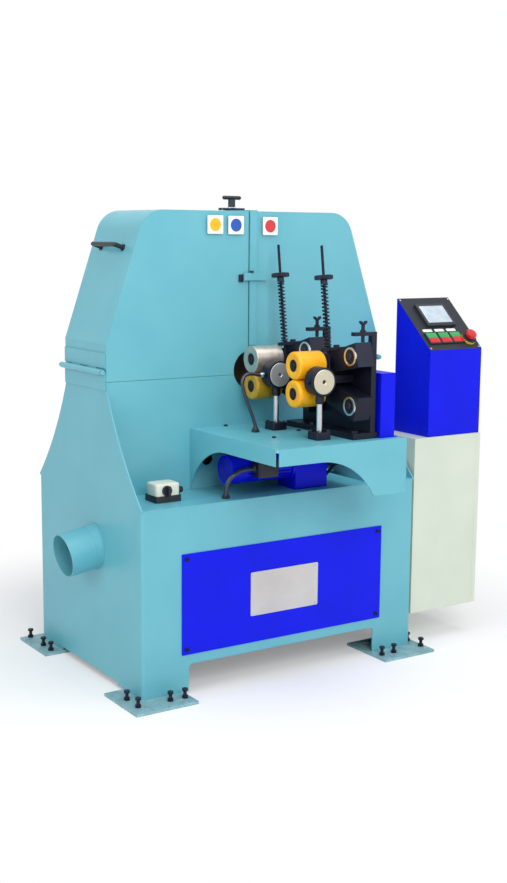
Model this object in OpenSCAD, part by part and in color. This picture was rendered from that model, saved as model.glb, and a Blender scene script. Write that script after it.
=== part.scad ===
// Deburring machine for tubes and bars: a base cabinet, a clamshell hood round a turning brush head,
// a roller feed on a bent table, a control cabinet and an operator console.
// X runs across the machine, Y from the feed side to the back, Z up. The origin is on the floor,
// at the centre of the anchor holes. The work passes along Y at the height feed_z.

/* [Base cabinet] */
// Width of the base cabinet
base_w = 1125; // [1100:5:1180]
// Depth of the base cabinet
base_d = 788; // [760:2:820]
// Height of the ledge above the floor
ledge_z = 638; // [620:1:645]
// Sheet thickness of the base cabinet
wall_t = 5; // [4:0.5:6]
// Outside radius of the cabinet's vertical corners
corner_r = 12; // [8:1:20]
// How far the end walls fold back round the corners
corner_return = 30; // [24:1:40]
// Width of each leg
leg_w = 175; // [150:5:190]
// Height of the arch between the legs above the floor
arch_z = 102; // [80:1:120]
// Radius of the arch's corners
arch_r = 16; // [8:1:25]
// Radius of the hollow shoulders of the side plates
shoulder_r = 1200; // [900:50:1600]
// Height at which the shoulders end in the neck
shoulder_top_z = 995; // [980:1:1010]

/* [Feet] */
// Side of a square foot plate
foot_w = 228; // [215:1:240]
// Thickness of the foot plates
foot_t = 10; // [8:1:14]
// How far the left foot plates stand out past the side
foot_out_left = 74; // [60:1:80]
// How far the right foot plates stand out past the side
foot_out_right = 36; // [30:1:45]
// How far the front foot plates stand out past the front
foot_out_front = 100; // [90:1:110]
// How far the rear foot plates stand out past the back
foot_out_rear = 40; // [35:1:50]
// Spacing of the anchor holes across the machine
anchor_x = 860; // [840:2:880]
// Spacing of the anchor holes front to back
anchor_y = 600; // [580:2:620]
// Diameter of the anchor holes
anchor_d = 18; // [14:1:22]
// Thread diameter of the jack screws
jack_d = 12; // [10:1:14]
// Width across the flats of the jack screws' heads and nuts
jack_af = 19; // [17:1:22]
// Height of the jack screws above their plate
jack_h = 33; // [28:1:40]

/* [Hood] */
// Depth of the neck and hood
hood_d = 312; // [304:2:316]
// Height of the joint between the neck and the covers
seam_z = 1027; // [1015:1:1035]
// Height of the fold where the covers start to slope
fold_z = 1153; // [1140:1:1165]
// Height of the top of the covers
top_z = 1591; // [1560:1:1620]
// Slope of the covers' sides from the vertical, degrees
slope_a = 18.7; // [16:0.1:20]
// Radius of the rounded upper corners
crown_r = 95; // [80:1:110]
// Sheet thickness of the covers
cover_t = 4; // [3:0.5:5]
// Place of the upright joint between the covers
split_x = -8; // [-12:1:-4]
// Gap between the two covers
split_gap = 3; // [3:0.5:5]
// Gap between the covers and the neck
seam_gap = 1; // [0.6:0.1:2]
// Radius of the round work inlet
inlet_r = 68; // [60:1:74]
// Height of the work axis
feed_z = 1042; // [1036:1:1046]
// Thickness of the hinge leaves
leaf_t = 5; // [4:0.5:6]
// Diameter of the hinge knuckles
knuckle_d = 20; // [18:1:22]
// Diameter of the hinge pins
hinge_pin_d = 10; // [8:0.5:12]
// Height of the hinge axis above the cover joint
hinge_up = 34; // [30:1:38]
// Height of a hinge leaf from the axis
leaf_h = 62; // [50:1:66]
// Clearance between a hinge knuckle and its pin
hinge_fit = 0.06; // [0.03:0.01:0.1]

/* [Feed table] */
// Height of the table top
table_z = 852; // [846:1:856]
// Sheet thickness of the table
table_t = 4; // [3:0.5:5]
// Left edge of the table
table_left = 245; // [235:1:260]
// Right edge of the table
table_right = 277; // [270:1:285]
// Reach of the table in front of the neck
table_reach = 533; // [520:1:545]
// Depth of the table's front skirt
skirt_h = 54; // [45:1:60]
// Radius of the skirts' swept lower edges
skirt_r = 241; // [230:1:250]
// Depth of the skirt under the right end
skirt_deep = 186; // [170:1:195]
// Bend radius of the table's edges
bend_r = 10; // [6:1:14]

/* [Feed rollers] */
// Diameter of a feed roller
roller_d = 92; // [84:1:96]
// Length of a feed roller
roller_l = 108; // [100:1:112]
// Gap between the closed rollers
nip_gap = 1; // [0.6:0.1:4]
// Rounding of the rollers' edges
roller_edge_r = 8; // [4:1:12]
// Distance between the front and rear roller pairs
pair_pitch = 253; // [250:1:256]
// Place of the front rollers along the work axis
front_roller_y = -496; // [-498:1:-494]
// Distance of an arm's pivot in front of its roller
pivot_reach = 130; // [126:1:134]
// Height of an arm's pivot from the work axis
pivot_rise = 81; // [78:1:84]
// Width of an arm
arm_w = 65; // [60:1:66]
// Height of an arm at its pivot
arm_h = 80; // [76:1:84]
// Diameter of the pivot pins
pivot_d = 40; // [34:1:44]
// Running clearance of the arms on their pivots
pivot_fit = 0.05; // [0.03:0.01:0.1]
// Diameter of the roller shafts in the arms
roller_shaft_d = 24; // [20:1:28]

/* [Roller pressure] */
// Diameter of the tension rods
rod_d = 10; // [8:0.5:11]
// Length of the tension rods above the work axis
rod_l = 440; // [430:2:450]
// Lean of the tension rods towards the hood, degrees
rod_a = 7.8; // [5:0.1:10]
// Diameter of the knurled nuts
nut_d = 62; // [54:1:64]
// Thickness of the knurled nuts
nut_t = 14; // [12:1:18]
// Mean diameter of the springs
spring_d = 21; // [20:0.5:23]
// Wire diameter of the springs
spring_wire = 4.5; // [3:0.5:5]
// Turns of each spring
spring_turns = 19; // [12:1:22]
// Distance of the nuts above the work axis, along the rods
nut_up = 328; // [320:1:340]

/* [Work guides] */
// Outside diameter of a guide holder
guide_d = 95; // [88:1:98]
// Diameter of the drilled guide disc
guide_disc_d = 82; // [74:1:84]
// Bore of the guide discs
guide_bore_d = 12; // [8:1:20]
// Length of a guide holder along the work axis
guide_l = 48; // [40:1:50]
// Diameter of the guide posts
post_d = 20; // [16:1:22]
// Side of a guide's base block
guide_base_w = 56; // [50:1:60]
// Height of a guide's base block
guide_base_h = 26; // [20:1:30]
// Clearance between a guide's clamp and its post
post_fit = 0.05; // [0.03:0.01:0.1]
// Height adjustment of a guide each way
guide_travel = 10; // [5:1:12]

/* [Control cabinet and console] */
// Width of the control cabinet, its door apart
cabinet_w = 300; // [290:2:310]
// Length of the control cabinet front to back
cabinet_d = 600; // [580:5:620]
// Height of the control cabinet
cabinet_h = 660; // [640:5:680]
// Height of the underside of the control cabinet
cabinet_z = 120; // [100:2:135]
// Gap between the side plate and the control cabinet
cabinet_gap = 12; // [8:1:16]
// Thickness of the cabinet door
door_t = 20; // [16:1:24]
// Width of the operator console
console_w = 251; // [245:1:256]
// Depth of the operator console
console_d = 197; // [190:1:200]
// Height of the console's front
console_front_h = 320; // [300:1:330]
// Slope of the console's panel, degrees
panel_a = 42.3; // [38:0.1:45]
// Travel of a push button
button_travel = 4; // [2:0.5:5]

/* [Extraction] */
// Outside diameter of the dust spigot
spigot_d = 150; // [140:1:160]
// Wall of the dust spigot
spigot_t = 3; // [2:0.5:5]
// Length of the dust spigot
spigot_l = 118; // [100:1:130]
// Slope of the dust spigot, degrees down
spigot_a = 10; // [0:1:12]

/* [Hidden] */

$fn = 48;

// Overrun of every cut
over = 1;
// Seat gap between touching pieces of different bodies
seat = 0.3;

// Half sizes and planes of the base and the neck
half_w = base_w / 2;
half_d = base_d / 2;
neck_y = hood_d / 2;
inner_w = base_w - 2 * wall_t;
seam_top = seam_z + seam_gap;
hinge_x = half_w + leaf_t + knuckle_d / 2;
hinge_z = seam_z + hinge_up;

// A block between two corners
module block(a, b) {
  translate(a) cube(b - a);
}

// A flat shape in Y and Z, drawn out along X
module along_x(x, w) {
  translate([x, 0, 0]) rotate([90, 0, 90]) linear_extrude(w) children();
}

// A flat shape in X and Z, drawn out along Y
module along_y(y, l) {
  translate([0, y + l, 0]) rotate([90, 0, 0]) linear_extrude(l) children();
}

// A round bar along X, Y or Z
module bar_x(p, d, l) {
  translate(p) rotate([0, 90, 0]) cylinder(d = d, h = l);
}

module bar_y(p, d, l) {
  translate(p) rotate([-90, 0, 0]) cylinder(d = d, h = l);
}

module bar_z(p, d, l) {
  translate(p) cylinder(d = d, h = l);
}

// A rectangle with round corners, kept as true arcs
module round_rect(a, b, r) {
  translate([a.x + r, a.y]) square([b.x - a.x - 2 * r, b.y - a.y]);
  translate([a.x, a.y + r]) square([b.x - a.x, b.y - a.y - 2 * r]);
  for (x = [a.x + r, b.x - r], y = [a.y + r, b.y - r]) translate([x, y]) circle(r);
}

// Hexagon by its width across flats
module hex(af, h) {
  cylinder(d = af / cos(30), h = h, $fn = 6);
}

// Foot plates and jack screws
plate_left = -half_w - foot_out_left;
plate_right = half_w + foot_out_right;
plate_front = -half_d - foot_out_front;
plate_rear = half_d + foot_out_rear;
// Places of the jack screws on a plate, from its outer corner, as shares of its side
front_jack_share = [[0.15, 0.24], [0.15, 0.58], [0.66, 0.22], [0.9, 0.22]];
rear_jack_share = [[0.15, 0.08], [0.15, 0.59], [0.15, 0.88], [0.66, 0.08]];
// The right plates stand out less, so their outer screws sit nearer the edge
right_jack_share = 0.08;
// Place of a plate's spare hole, as a share of its side
spare_hole_share = [0.78, 0.1];

function plate_origin(left, front) = [left ? plate_left : plate_right, front ? plate_front : plate_rear];
function plate_point(left, front, share) = plate_origin(left, front)
  + [(left ? 1 : -1) * share.x * foot_w, (front ? 1 : -1) * share.y * foot_w];

module at_jacks() {
  for (left = [true, false], front = [true, false], share = front ? front_jack_share : rear_jack_share) {
    outer = share.x < spare_hole_share.y * 2;
    p = plate_point(left, front, [!left && outer ? right_jack_share : share.x, share.y]);
    translate([p.x, p.y, 0]) children();
  }
}

module foot_plates() {
  color("#30343c") difference() {
    for (left = [true, false], front = [true, false]) {
      a = plate_origin(left, front);
      translate([left ? a.x : a.x - foot_w, front ? a.y : a.y - foot_w, 0]) cube([foot_w, foot_w, foot_t]);
    }
    at_jacks() translate([0, 0, -over]) cylinder(d = jack_d, h = foot_t + 2 * over);
    for (x = [-anchor_x / 2, anchor_x / 2], y = [-anchor_y / 2, anchor_y / 2])
      bar_z([x, y, -over], anchor_d, foot_t + 2 * over);
    for (left = [true, false]) {
      p = plate_point(left, true, spare_hole_share);
      bar_z([p.x, p.y, -over], anchor_d, foot_t + 2 * over);
    }
  }
}

// Hex screw with a lock nut below its head, standing through the plate
nut_h = jack_d * 0.8;
head_h = jack_d * 0.65;

module jack_screws() {
  color("#3a3d42") at_jacks() {
    cylinder(d = jack_d, h = foot_t + jack_h - head_h);
    translate([0, 0, foot_t]) hex(jack_af, nut_h);
    translate([0, 0, foot_t + jack_h - head_h]) hex(jack_af, head_h);
  }
}

// Base cabinet
module end_wall_plan(side) {
  difference() {
    round_rect([-half_w, -half_d], [half_w, half_d], corner_r);
    round_rect([-half_w + wall_t, -half_d + wall_t], [half_w - wall_t, half_d - wall_t], corner_r - wall_t);
    translate([-base_w, side < 0 ? -half_d + corner_return : -base_d])
      square([2 * base_w, base_d * (side < 0 ? 1 : 2) - (side < 0 ? 0 : half_d + corner_return)]);
  }
}

module leg_arch() {
  along_y(-base_d, 2 * base_d) round_rect([-half_w + leg_w, -arch_z], [half_w - leg_w, arch_z], arch_r);
}

module end_walls() {
  color("#6bc3cc") difference() {
    for (side = [-1, 1])
      translate([0, 0, foot_t]) linear_extrude(ledge_z - wall_t - foot_t) end_wall_plan(side);
    leg_arch();
  }
}

// The shoulder's arc runs from the ledge's edge to the neck
chord_y = half_d - neck_y;
chord_z = shoulder_top_z - ledge_z;
chord = norm([chord_y, chord_z]);
arc_off = sqrt(shoulder_r * shoulder_r - chord * chord / 4);
arc_y = -(half_d + neck_y) / 2 - arc_off * chord_z / chord;
arc_z = (shoulder_top_z + ledge_z) / 2 + arc_off * chord_y / chord;
sill_z = foot_t + wall_t * 2;

module shoulder_cut() {
  intersection() {
    translate([arc_y, arc_z]) circle(shoulder_r, $fn = 200);
    translate([-half_d - over, ledge_z]) square([chord_y + 2 * over, chord_z]);
  }
}

module side_outline() {
  inset = half_d - corner_return;
  difference() {
    polygon([[-inset, foot_t], [inset, foot_t], [inset, ledge_z - wall_t], [half_d, ledge_z - wall_t],
      [half_d, ledge_z], [neck_y, shoulder_top_z], [neck_y, seam_z], [-neck_y, seam_z],
      [-neck_y, shoulder_top_z], [-half_d, ledge_z], [-half_d, ledge_z - wall_t], [-inset,
          ledge_z - wall_t]]);
    shoulder_cut();
    mirror([1, 0]) shoulder_cut();
    round_rect([-half_d + leg_w, -sill_z], [half_d - leg_w, sill_z], wall_t);
  }
}

module side_plates() {
  color("#72afc9") difference() {
    for (x = [-half_w, half_w - wall_t]) along_x(x, wall_t) side_outline();
    spigot_bore();
  }
}

module ledge_plates() {
  color("#6bc3cc") for (m = [0, 1]) mirror([0, m, 0])
    block([-half_w + wall_t, -half_d, ledge_z - wall_t], [half_w - wall_t, -neck_y + wall_t, ledge_z]);
}

// Turned-in flange of the neck walls under the covers
neck_flange = 24;
// Round hole in the front neck wall under the table, for the air lead
lead_hole_d = 45;
lead_hole = [-175, 740];

module work_hole() {
  bar_y([0, -base_d, feed_z], 2 * inlet_r, 2 * base_d);
}

module neck_walls() {
  color("#6bc3cc") difference() {
    for (m = [0, 1]) mirror([0, m, 0]) {
      block([-inner_w / 2, -neck_y, ledge_z], [inner_w / 2, -neck_y + wall_t, seam_z]);
      block([-inner_w / 2, -neck_y + wall_t, seam_z - wall_t], [inner_w / 2, -neck_y + neck_flange,
          seam_z]);
    }
    work_hole();
    bar_y([lead_hole.x, -neck_y - over, lead_hole.y], lead_hole_d, wall_t + 2 * over);
  }
}

// Access panel on the front, held by a screw in each corner
panel_left = -415;
panel_low = 136;
panel_high = 479;
panel_t = 3;
panel_screw_d = 14;
panel_screw_h = 5;
panel_screw_in = 18;

module access_panel() {
  color("#0012e6") translate([0, -half_d - panel_t, 0]) rotate([-90, 0, 0]) mirror([0, 1, 0])
    linear_extrude(panel_t) round_rect([panel_left, panel_low], [-panel_left, panel_high], panel_t);
}

// Screws in the table top, as shares of its width and its reach
table_screw_share = [[0.26, 0.97], [0.255, 0.4], [0.56, 0.56]];
table_w = table_left + table_right;
table_front = -neck_y - table_reach;

module panel_screws() {
  color("#2b2f38") {
    for (x = [panel_left + panel_screw_in, -panel_left - panel_screw_in],
         z = [panel_low + panel_screw_in, panel_high - panel_screw_in])
      bar_y([x, -half_d - panel_t - panel_screw_h, z], panel_screw_d, panel_screw_h);
    for (s = table_screw_share)
      bar_z([-table_left + s.x * table_w, table_front + s.y * table_reach, table_z], panel_screw_d,
          panel_screw_h);
  }
}

// Dust spigot, sloping down from the left side plate
spigot_y = -50;
spigot_z = 455;
// Weld ring on the wall, and the thicker root of the tube that a hose stops against
spigot_weld_w = 5;
spigot_root_t = 2;
spigot_root_l = 24;

module spigot_place() {
  translate([-half_w, spigot_y, spigot_z]) rotate([0, -90 - spigot_a, 0]) children();
}

module spigot_bore() {
  spigot_place() translate([0, 0, -spigot_d]) cylinder(d = spigot_d - 2 * spigot_t, h = spigot_l * 3);
}

module dust_spigot() {
  color("#72afc9") difference() {
    union() {
      spigot_place() {
        cylinder(d = spigot_d, h = spigot_l);
        translate([0, 0, -spigot_d / 2]) cylinder(d = spigot_d + 2 * spigot_root_t,
            h = spigot_root_l + spigot_d / 2);
      }
      bar_x([-half_w - wall_t, spigot_y, spigot_z], spigot_d + 2 * (spigot_root_t + spigot_weld_w), wall_t);
    }
    spigot_bore();
    block([-half_w, -half_d, 0], [0, half_d, ledge_z]);
  }
}

// Hinges along both sides of the hood: three fixed knuckles and two on the cover
knuckle_n = 5;
hinge_l = hood_d - 2 * cover_t;
knuckle_l = hinge_l / knuckle_n;
knuckle_gap = 0.5;

module hinge_leaf(fixed) {
  root = half_w - (fixed ? 0 : cover_t / 2);
  difference() {
    union() {
      block([root, -hinge_l / 2, hinge_z + (fixed ? -leaf_h : knuckle_d * 0.6)],
        [half_w + leaf_t, hinge_l / 2, hinge_z + (fixed ? -knuckle_d * 0.6 : leaf_h)]);
      for (i = [0 : knuckle_n - 1]) if ((i % 2 == 0) == fixed) {
        y = -hinge_l / 2 + i * knuckle_l + knuckle_gap / 2;
        bar_y([hinge_x, y, hinge_z], knuckle_d, knuckle_l - knuckle_gap);
        block([root, y, hinge_z + (fixed ? -leaf_h : 0)],
          [half_w + leaf_t, y + knuckle_l - knuckle_gap, hinge_z + (fixed ? 0 : leaf_h)]);
        block([root, y, hinge_z - (fixed ? knuckle_d / 4 : 0)],
          [hinge_x, y + knuckle_l - knuckle_gap, hinge_z + (fixed ? 0 : knuckle_d / 4)]);
      }
    }
    bar_y([hinge_x, -hood_d, hinge_z], hinge_pin_d + (fixed ? 0 : 2 * hinge_fit), 2 * hood_d);
  }
}

pin_head_d = hinge_pin_d * 1.6;

module hinge_pin() {
  bar_y([hinge_x, -neck_y, hinge_z], hinge_pin_d, hood_d);
  for (y = [-neck_y - leaf_t, neck_y]) bar_y([hinge_x, y, hinge_z], pin_head_d, leaf_t);
}

module fixed_hinge_leaves() {
  color("#6bc3cc") for (m = [0, 1]) mirror([m, 0, 0]) {
    hinge_leaf(true);
    hinge_pin();
  }
}

// Hood covers
slope_t = tan(slope_a);
crown_z = top_z - crown_r;
crown_x = half_w - crown_r / cos(slope_a) - slope_t * (crown_z - fold_z);

// Half of the hood's outline from an inner edge at x0 to its skin, moved in by a wall
module hood_outline(x0, inset) {
  r = crown_r - inset;
  polygon([[x0, seam_top - (inset > 0 ? over : 0)], [half_w - inset, seam_top - (inset > 0 ? over : 0)],
    [half_w - inset, fold_z - inset * tan(slope_a / 2)], [crown_x + r * cos(slope_a),
        crown_z + r * sin(slope_a)],
    [crown_x, top_z - inset], [x0, top_z - inset]]);
  translate([crown_x, crown_z]) circle(r, $fn = 96);
}

module cover_shell(x0) {
  difference() {
    along_y(-neck_y, hood_d) hood_outline(x0, 0);
    along_y(-neck_y + cover_t, hood_d - 2 * cover_t) hood_outline(x0 - over, cover_t);
    work_hole();
  }
}

module left_cover() {
  color("#6bc3cc") mirror([1, 0, 0]) {
    cover_shell(-split_x + split_gap / 2);
    hinge_leaf(false);
    latch_keeper();
  }
}

module right_cover() {
  color("#6bc3cc") {
    cover_shell(split_x + split_gap / 2);
    hinge_leaf(false);
  }
}

// Pull handle on the left slope
handle_down = 126;
handle_z = top_z - handle_down;
handle_l = 160;
handle_bar_d = 16;
handle_off = 34;
handle_foot_d = 24;

function slope_x(z) = half_w - slope_t * (z - fold_z);

module pull_handle() {
  color("#22262e") translate([-slope_x(handle_z), 0, handle_z]) rotate([0, -90 + slope_a, 0]) {
    for (y = [-handle_l / 2, handle_l / 2]) translate([0, y, 0]) {
      cylinder(d = handle_bar_d, h = handle_off);
      cylinder(d = handle_foot_d, h = handle_bar_d / 4);
      translate([0, 0, handle_off]) sphere(d = handle_bar_d);
    }
    bar_y([0, -handle_l / 2, handle_off], handle_bar_d, handle_l);
  }
}

// Seam strip, latch block and top catch plate on the right cover
strip_x0 = split_x + split_gap / 2;
strip_w = 30;
strip_t = 4;
strip_under = 24;
strip_low = fold_z - strip_under;
latch_x0 = -34;
latch_x1 = 59;
latch_down = 211;
latch_h = 26;
latch_z1 = top_z - latch_down;
latch_z0 = latch_z1 - latch_h;
latch_t = 12;
latch_bolt_d = 13;
latch_bolt_h = 8;
latch_bolt_x = -1;
keeper_gap = 1.5;
keeper_l = 15;
keeper_t = 8;
keeper_drop = 5;
catch_x0 = split_x + split_gap;
catch_l = 96;
catch_w = 26;
catch_t = 8;
catch_y = 40;
catch_up = 6;
knob_x = catch_x0 + catch_l / 2;

// Keeper beside the latch block, in the mirrored frame of the left cover
module latch_keeper() {
  block([keeper_gap - latch_x0, -neck_y - keeper_t, latch_z0 - keeper_drop],
    [keeper_gap - latch_x0 + keeper_l, -neck_y + cover_t / 2, latch_z1 - keeper_drop]);
}

module cover_latch() {
  color("#6bc3cc") {
    block([strip_x0, -neck_y - strip_t, strip_low], [strip_x0 + strip_w, -neck_y, top_z]);
    block([strip_x0, -neck_y - strip_t, top_z], [strip_x0 + strip_w, neck_y, top_z + strip_t]);
    block([latch_x0, -neck_y - latch_t, latch_z0], [latch_x1, -neck_y - strip_t, latch_z1]);
    block([strip_x0 + strip_w, -neck_y - strip_t, latch_z0], [latch_x1, -neck_y, latch_z1]);
  }
  color("#22262e") {
    bar_z([latch_bolt_x, -neck_y - (latch_t + strip_t) / 2, latch_z1], latch_bolt_d, latch_bolt_h);
    block([catch_x0 + strip_w, catch_y - catch_w / 2, top_z],
      [catch_x0 + catch_l, catch_y + catch_w / 2, top_z + catch_up]);
    block([catch_x0, catch_y - catch_w / 2, top_z + catch_up],
      [catch_x0 + catch_l, catch_y + catch_w / 2, top_z + catch_up + catch_t]);
  }
}

// Turning T knob on the catch plate
knob_z = top_z + catch_up + catch_t + seat;
knob_stem_d = 26;
knob_stem_h = 30;
knob_bar_l = 64;
knob_bar_d = 14;

module clamp_knob() {
  color("#22262e") translate([knob_x, catch_y, knob_z]) {
    cylinder(d = knob_stem_d, h = knob_stem_h);
    translate([0, 0, knob_stem_h + knob_bar_d / 2 - over]) bar_x([-knob_bar_l / 2, 0, 0], knob_bar_d,
        knob_bar_l);
    for (x = [-knob_bar_l / 2, knob_bar_l / 2])
      translate([x, 0, knob_stem_h + knob_bar_d / 2 - over]) sphere(d = knob_bar_d);
  }
}

// Feed table: a bent sheet with skirts whose lower edges sweep down to the neck
deep_w = 135;
deep_x = table_right - deep_w;
skirt_z = table_z - skirt_h;

module skirt_side() {
  span = sqrt(skirt_r * skirt_r - pow(skirt_r - (skirt_z - ledge_z), 2));
  difference() {
    polygon([[table_front + bend_r, skirt_z], [-neck_y - span, skirt_z], [-neck_y - span, ledge_z],
        [-neck_y, ledge_z],
      [-neck_y, table_z], [table_front + bend_r, table_z]]);
    intersection() {
      translate([-neck_y - span, skirt_z - skirt_r]) circle(skirt_r, $fn = 160);
      translate([-neck_y - span - over, ledge_z - over]) square([span + over, skirt_z - ledge_z + over]);
    }
  }
}

module skirt_front() {
  low = table_z - skirt_deep;
  span = sqrt(skirt_r * skirt_r - pow(skirt_r - (skirt_z - low), 2));
  difference() {
    polygon([[-table_left + bend_r, skirt_z], [deep_x - span, skirt_z], [deep_x - span, low],
        [table_right, low],
      [table_right, table_z], [-table_left + bend_r, table_z]]);
    intersection() {
      translate([deep_x - span, skirt_z - skirt_r]) circle(skirt_r, $fn = 160);
      translate([deep_x - span - over, low - over]) square([span + over, skirt_z - low + over]);
    }
  }
}

chain_slot_w = 40;

module feed_table() {
  low = table_z - skirt_deep;
  color("#6bc3cc") difference() {
    union() {
      table_top();
      along_x(-table_left, table_t) skirt_side();
      along_y(table_front, table_t) skirt_front();
      block([table_right - table_t, table_front + bend_r, low], [table_right, -neck_y, table_z - bend_r]);
      edge_bends();
    }
    block([guard_x + guard_t, chain_y0, table_z - 2 * bend_r],
      [guard_x + guard_t + chain_slot_w, chain_y1, table_z + over]);
  }
}

// Flat top inside the bends
module table_top() {
  block([-table_left + bend_r, table_front + bend_r, table_z - table_t], [table_right - bend_r,
      -neck_y, table_z]);
}

// Rounded edges of the table on three sides
module edge_bends() {
  for (x = [-table_left + bend_r, table_right - bend_r])
    quarter_bend(x, x < 0 ? -1 : 1);
  intersection() {
    difference() {
      bar_x([-table_left, table_front + bend_r, table_z - bend_r], 2 * bend_r, table_w);
      bar_x([-table_left - over, table_front + bend_r, table_z - bend_r], 2 * (bend_r - table_t),
          table_w + 2 * over);
    }
    block([-table_left + bend_r, table_front, table_z - bend_r], [table_right - bend_r,
        table_front + bend_r, table_z]);
  }
  for (x = [-table_left + bend_r, table_right - bend_r]) corner_bend(x, x < 0 ? -1 : 1);
}

module quarter_bend(x, side) {
  intersection() {
    difference() {
      bar_y([x, table_front + bend_r, table_z - bend_r], 2 * bend_r, table_reach - bend_r);
      bar_y([x, table_front, table_z - bend_r], 2 * (bend_r - table_t), table_reach + over);
    }
    block([min(x, x + side * bend_r), table_front + bend_r, table_z - bend_r],
      [max(x, x + side * bend_r), -neck_y, table_z]);
  }
}

module corner_bend(x, side) {
  translate([x, table_front + bend_r, table_z - bend_r]) intersection() {
    difference() {
      sphere(bend_r);
      sphere(bend_r - table_t);
    }
    block([side < 0 ? -bend_r : 0, -bend_r, 0], [side < 0 ? 0 : bend_r, 0, bend_r]);
  }
}

// Feed unit
arm_x = 84;
arm_end_x = arm_x + arm_w;
arm_gap = 2;
carrier_x = arm_end_x + arm_gap;
carrier_t = 20;
pivot_y = front_roller_y - pivot_reach;
roller_rise = (roller_d + nip_gap) / 2;
arm_a = atan((pivot_rise - roller_rise) / pivot_reach);
arm_l = norm([pivot_reach, pivot_rise - roller_rise]);
pitches = [0, pair_pitch];

feed_base_t = 20;
feed_base_x = 80;
feed_base_lead = 26;
feed_base_front = pivot_y - feed_base_lead;
feed_base_top = table_z + feed_base_t;
feed_base_lip = 11;
feed_base_end_x = carrier_x + carrier_t + feed_base_lip;
feed_base_l = pair_pitch + pivot_reach;

module feed_base() {
  color("#262a36") {
    block([feed_base_x, feed_base_front, table_z],
      [feed_base_end_x, feed_base_front + feed_base_l, feed_base_top]);
    for (y = [feed_base_front + feed_base_t, feed_base_front + pair_pitch])
      translate([feed_base_x + feed_base_t, y, feed_base_top]) hex(jack_af, head_h);
  }
}

// Upright plate that carries the pivots, the stop brackets and the anchor blocks of the tension rods
boss_r = pivot_d * 0.6;
carrier_up = 60;
rod_u = 98;
rod_out = 13;
rod_x = arm_x - rod_out;
anchor_h = 26;
anchor_l = 40;
anchor_w = 10;
seat_rise = 9;
seat_v = arm_h / 2 + seat_rise;
// Point of a tension rod at its spring's seat on the closed arm
rod_seat_y = pivot_y + rod_u * cos(arm_a) + seat_v * sin(arm_a);
rod_seat_z = pivot_rise - rod_u * sin(arm_a) + seat_v * cos(arm_a);
rod_foot_y = rod_seat_y - rod_seat_z * tan(rod_a);
rod_seat_up = rod_seat_z / cos(rod_a);

// Stop brackets: lugs on the plate's columns, over the arms' front ends
bracket_l = 20;
bracket_lead = boss_r - bracket_l / 2;
bracket_y = pivot_y - bracket_lead;
bracket_out = 4;
bracket_lug_t = 12;
bracket_over = 33;
arm_front = 32;
arm_tip_r = 34;
bracket_top = feed_z + pivot_rise + arm_h / 2 * cos(arm_a) + arm_front * sin(arm_a) + bracket_over;

module carrier_outline() {
  translate([-boss_r, 0]) square([feed_base_l - feed_base_lead + boss_r,
      feed_z + carrier_up - feed_base_top]);
  for (p = pitches) translate([p, 0]) {
    translate([-boss_r, 0]) square([2 * boss_r, feed_z + pivot_rise - feed_base_top]);
    translate([0, feed_z + pivot_rise - feed_base_top]) circle(boss_r);
    translate([-boss_r, 0]) square([bracket_l, bracket_top - bracket_lug_t - feed_base_top]);
  }
}

module arm_carriers() {
  color("#1e2230") {
    translate([0, pivot_y, feed_base_top]) along_x(carrier_x, carrier_t) carrier_outline();
    for (p = pitches) translate([0, p, 0]) {
      difference() {
        block([rod_x - anchor_w, rod_foot_y - anchor_l / 2, feed_z - anchor_h / 2],
          [carrier_x, rod_foot_y + anchor_l / 2, feed_z + anchor_h / 2]);
        tension_axis() cylinder(d = rod_d, h = anchor_l * 2, center = true);
      }
      for (z = [-pivot_rise, pivot_rise]) {
        bar_x([arm_x - pivot_ring_t, pivot_y, feed_z + z], pivot_d, carrier_x - arm_x + pivot_ring_t);
        pivot_ring(z);
      }
    }
  }
}

// Steel ring that keeps an arm on its pin
pivot_ring_d = 62;
pivot_ring_t = 4;

module pivot_ring(z) {
  difference() {
    bar_x([arm_x - pivot_ring_t, pivot_y, feed_z + z], pivot_ring_d, pivot_ring_t - seat);
    bar_x([arm_x - pivot_ring_t - over, pivot_y, feed_z + z], pivot_d, pivot_ring_t + 2 * over);
  }
}

// Arm in its own plane: pivot at the origin, roller along the first axis
seat_t = 12;
seat_front = 17;
seat_back = 25;
seat_out = 12;
slot_back = 20;
slot_play = 1.5;
slot_w = rod_d + 2 * slot_play;

module arm_outline() {
  polygon([[-arm_front, -arm_h / 2], [arm_l, -arm_tip_r], [arm_l, arm_tip_r], [-arm_front, arm_h / 2]]);
  translate([arm_l, 0]) circle(arm_tip_r);
}

// Moves a shape from the arm's own plane to its pivot, slanted towards the work axis
module arm_place(up) {
  translate([0, pivot_y, feed_z]) mirror([0, 0, up ? 0 : 1])
    translate([0, 0, pivot_rise]) rotate([-arm_a, 0, 0]) children();
}

// Spring seat square to the rod: a slotted plate that overhangs the arm's left side, on a wedge
module spring_seat() {
  tension_axis() translate([0, 0, rod_seat_up - seat_t]) difference() {
    union() {
      block([-seat_out, -seat_front, 0], [rod_out + arm_w * 0.7, seat_back, seat_t]);
      block([rod_out, -seat_front, -seat_t], [rod_out + arm_w * 0.7, seat_back, over]);
    }
    block([-slot_w / 2, -slot_w / 2, -over], [slot_w / 2, slot_back, seat_t + over]);
  }
  tension_axis() translate([rod_out + arm_w / 3, 0, rod_seat_up]) hex(jack_af, head_h);
}

module arm(up) {
  color("#262a36") difference() {
    union() {
      arm_place(up) along_x(arm_x, arm_w) arm_outline();
      if (up) spring_seat();
    }
    arm_place(up) {
      bar_x([arm_x - over, 0, 0], pivot_d + 2 * pivot_fit, arm_w + 2 * over);
      bar_x([arm_x - over, arm_l, 0], roller_shaft_d + 2 * pivot_fit, arm_w + 2 * over);
    }
  }
}

module front_upper_arm() {
  arm(true);
}

module front_lower_arm() {
  arm(false);
}

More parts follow.
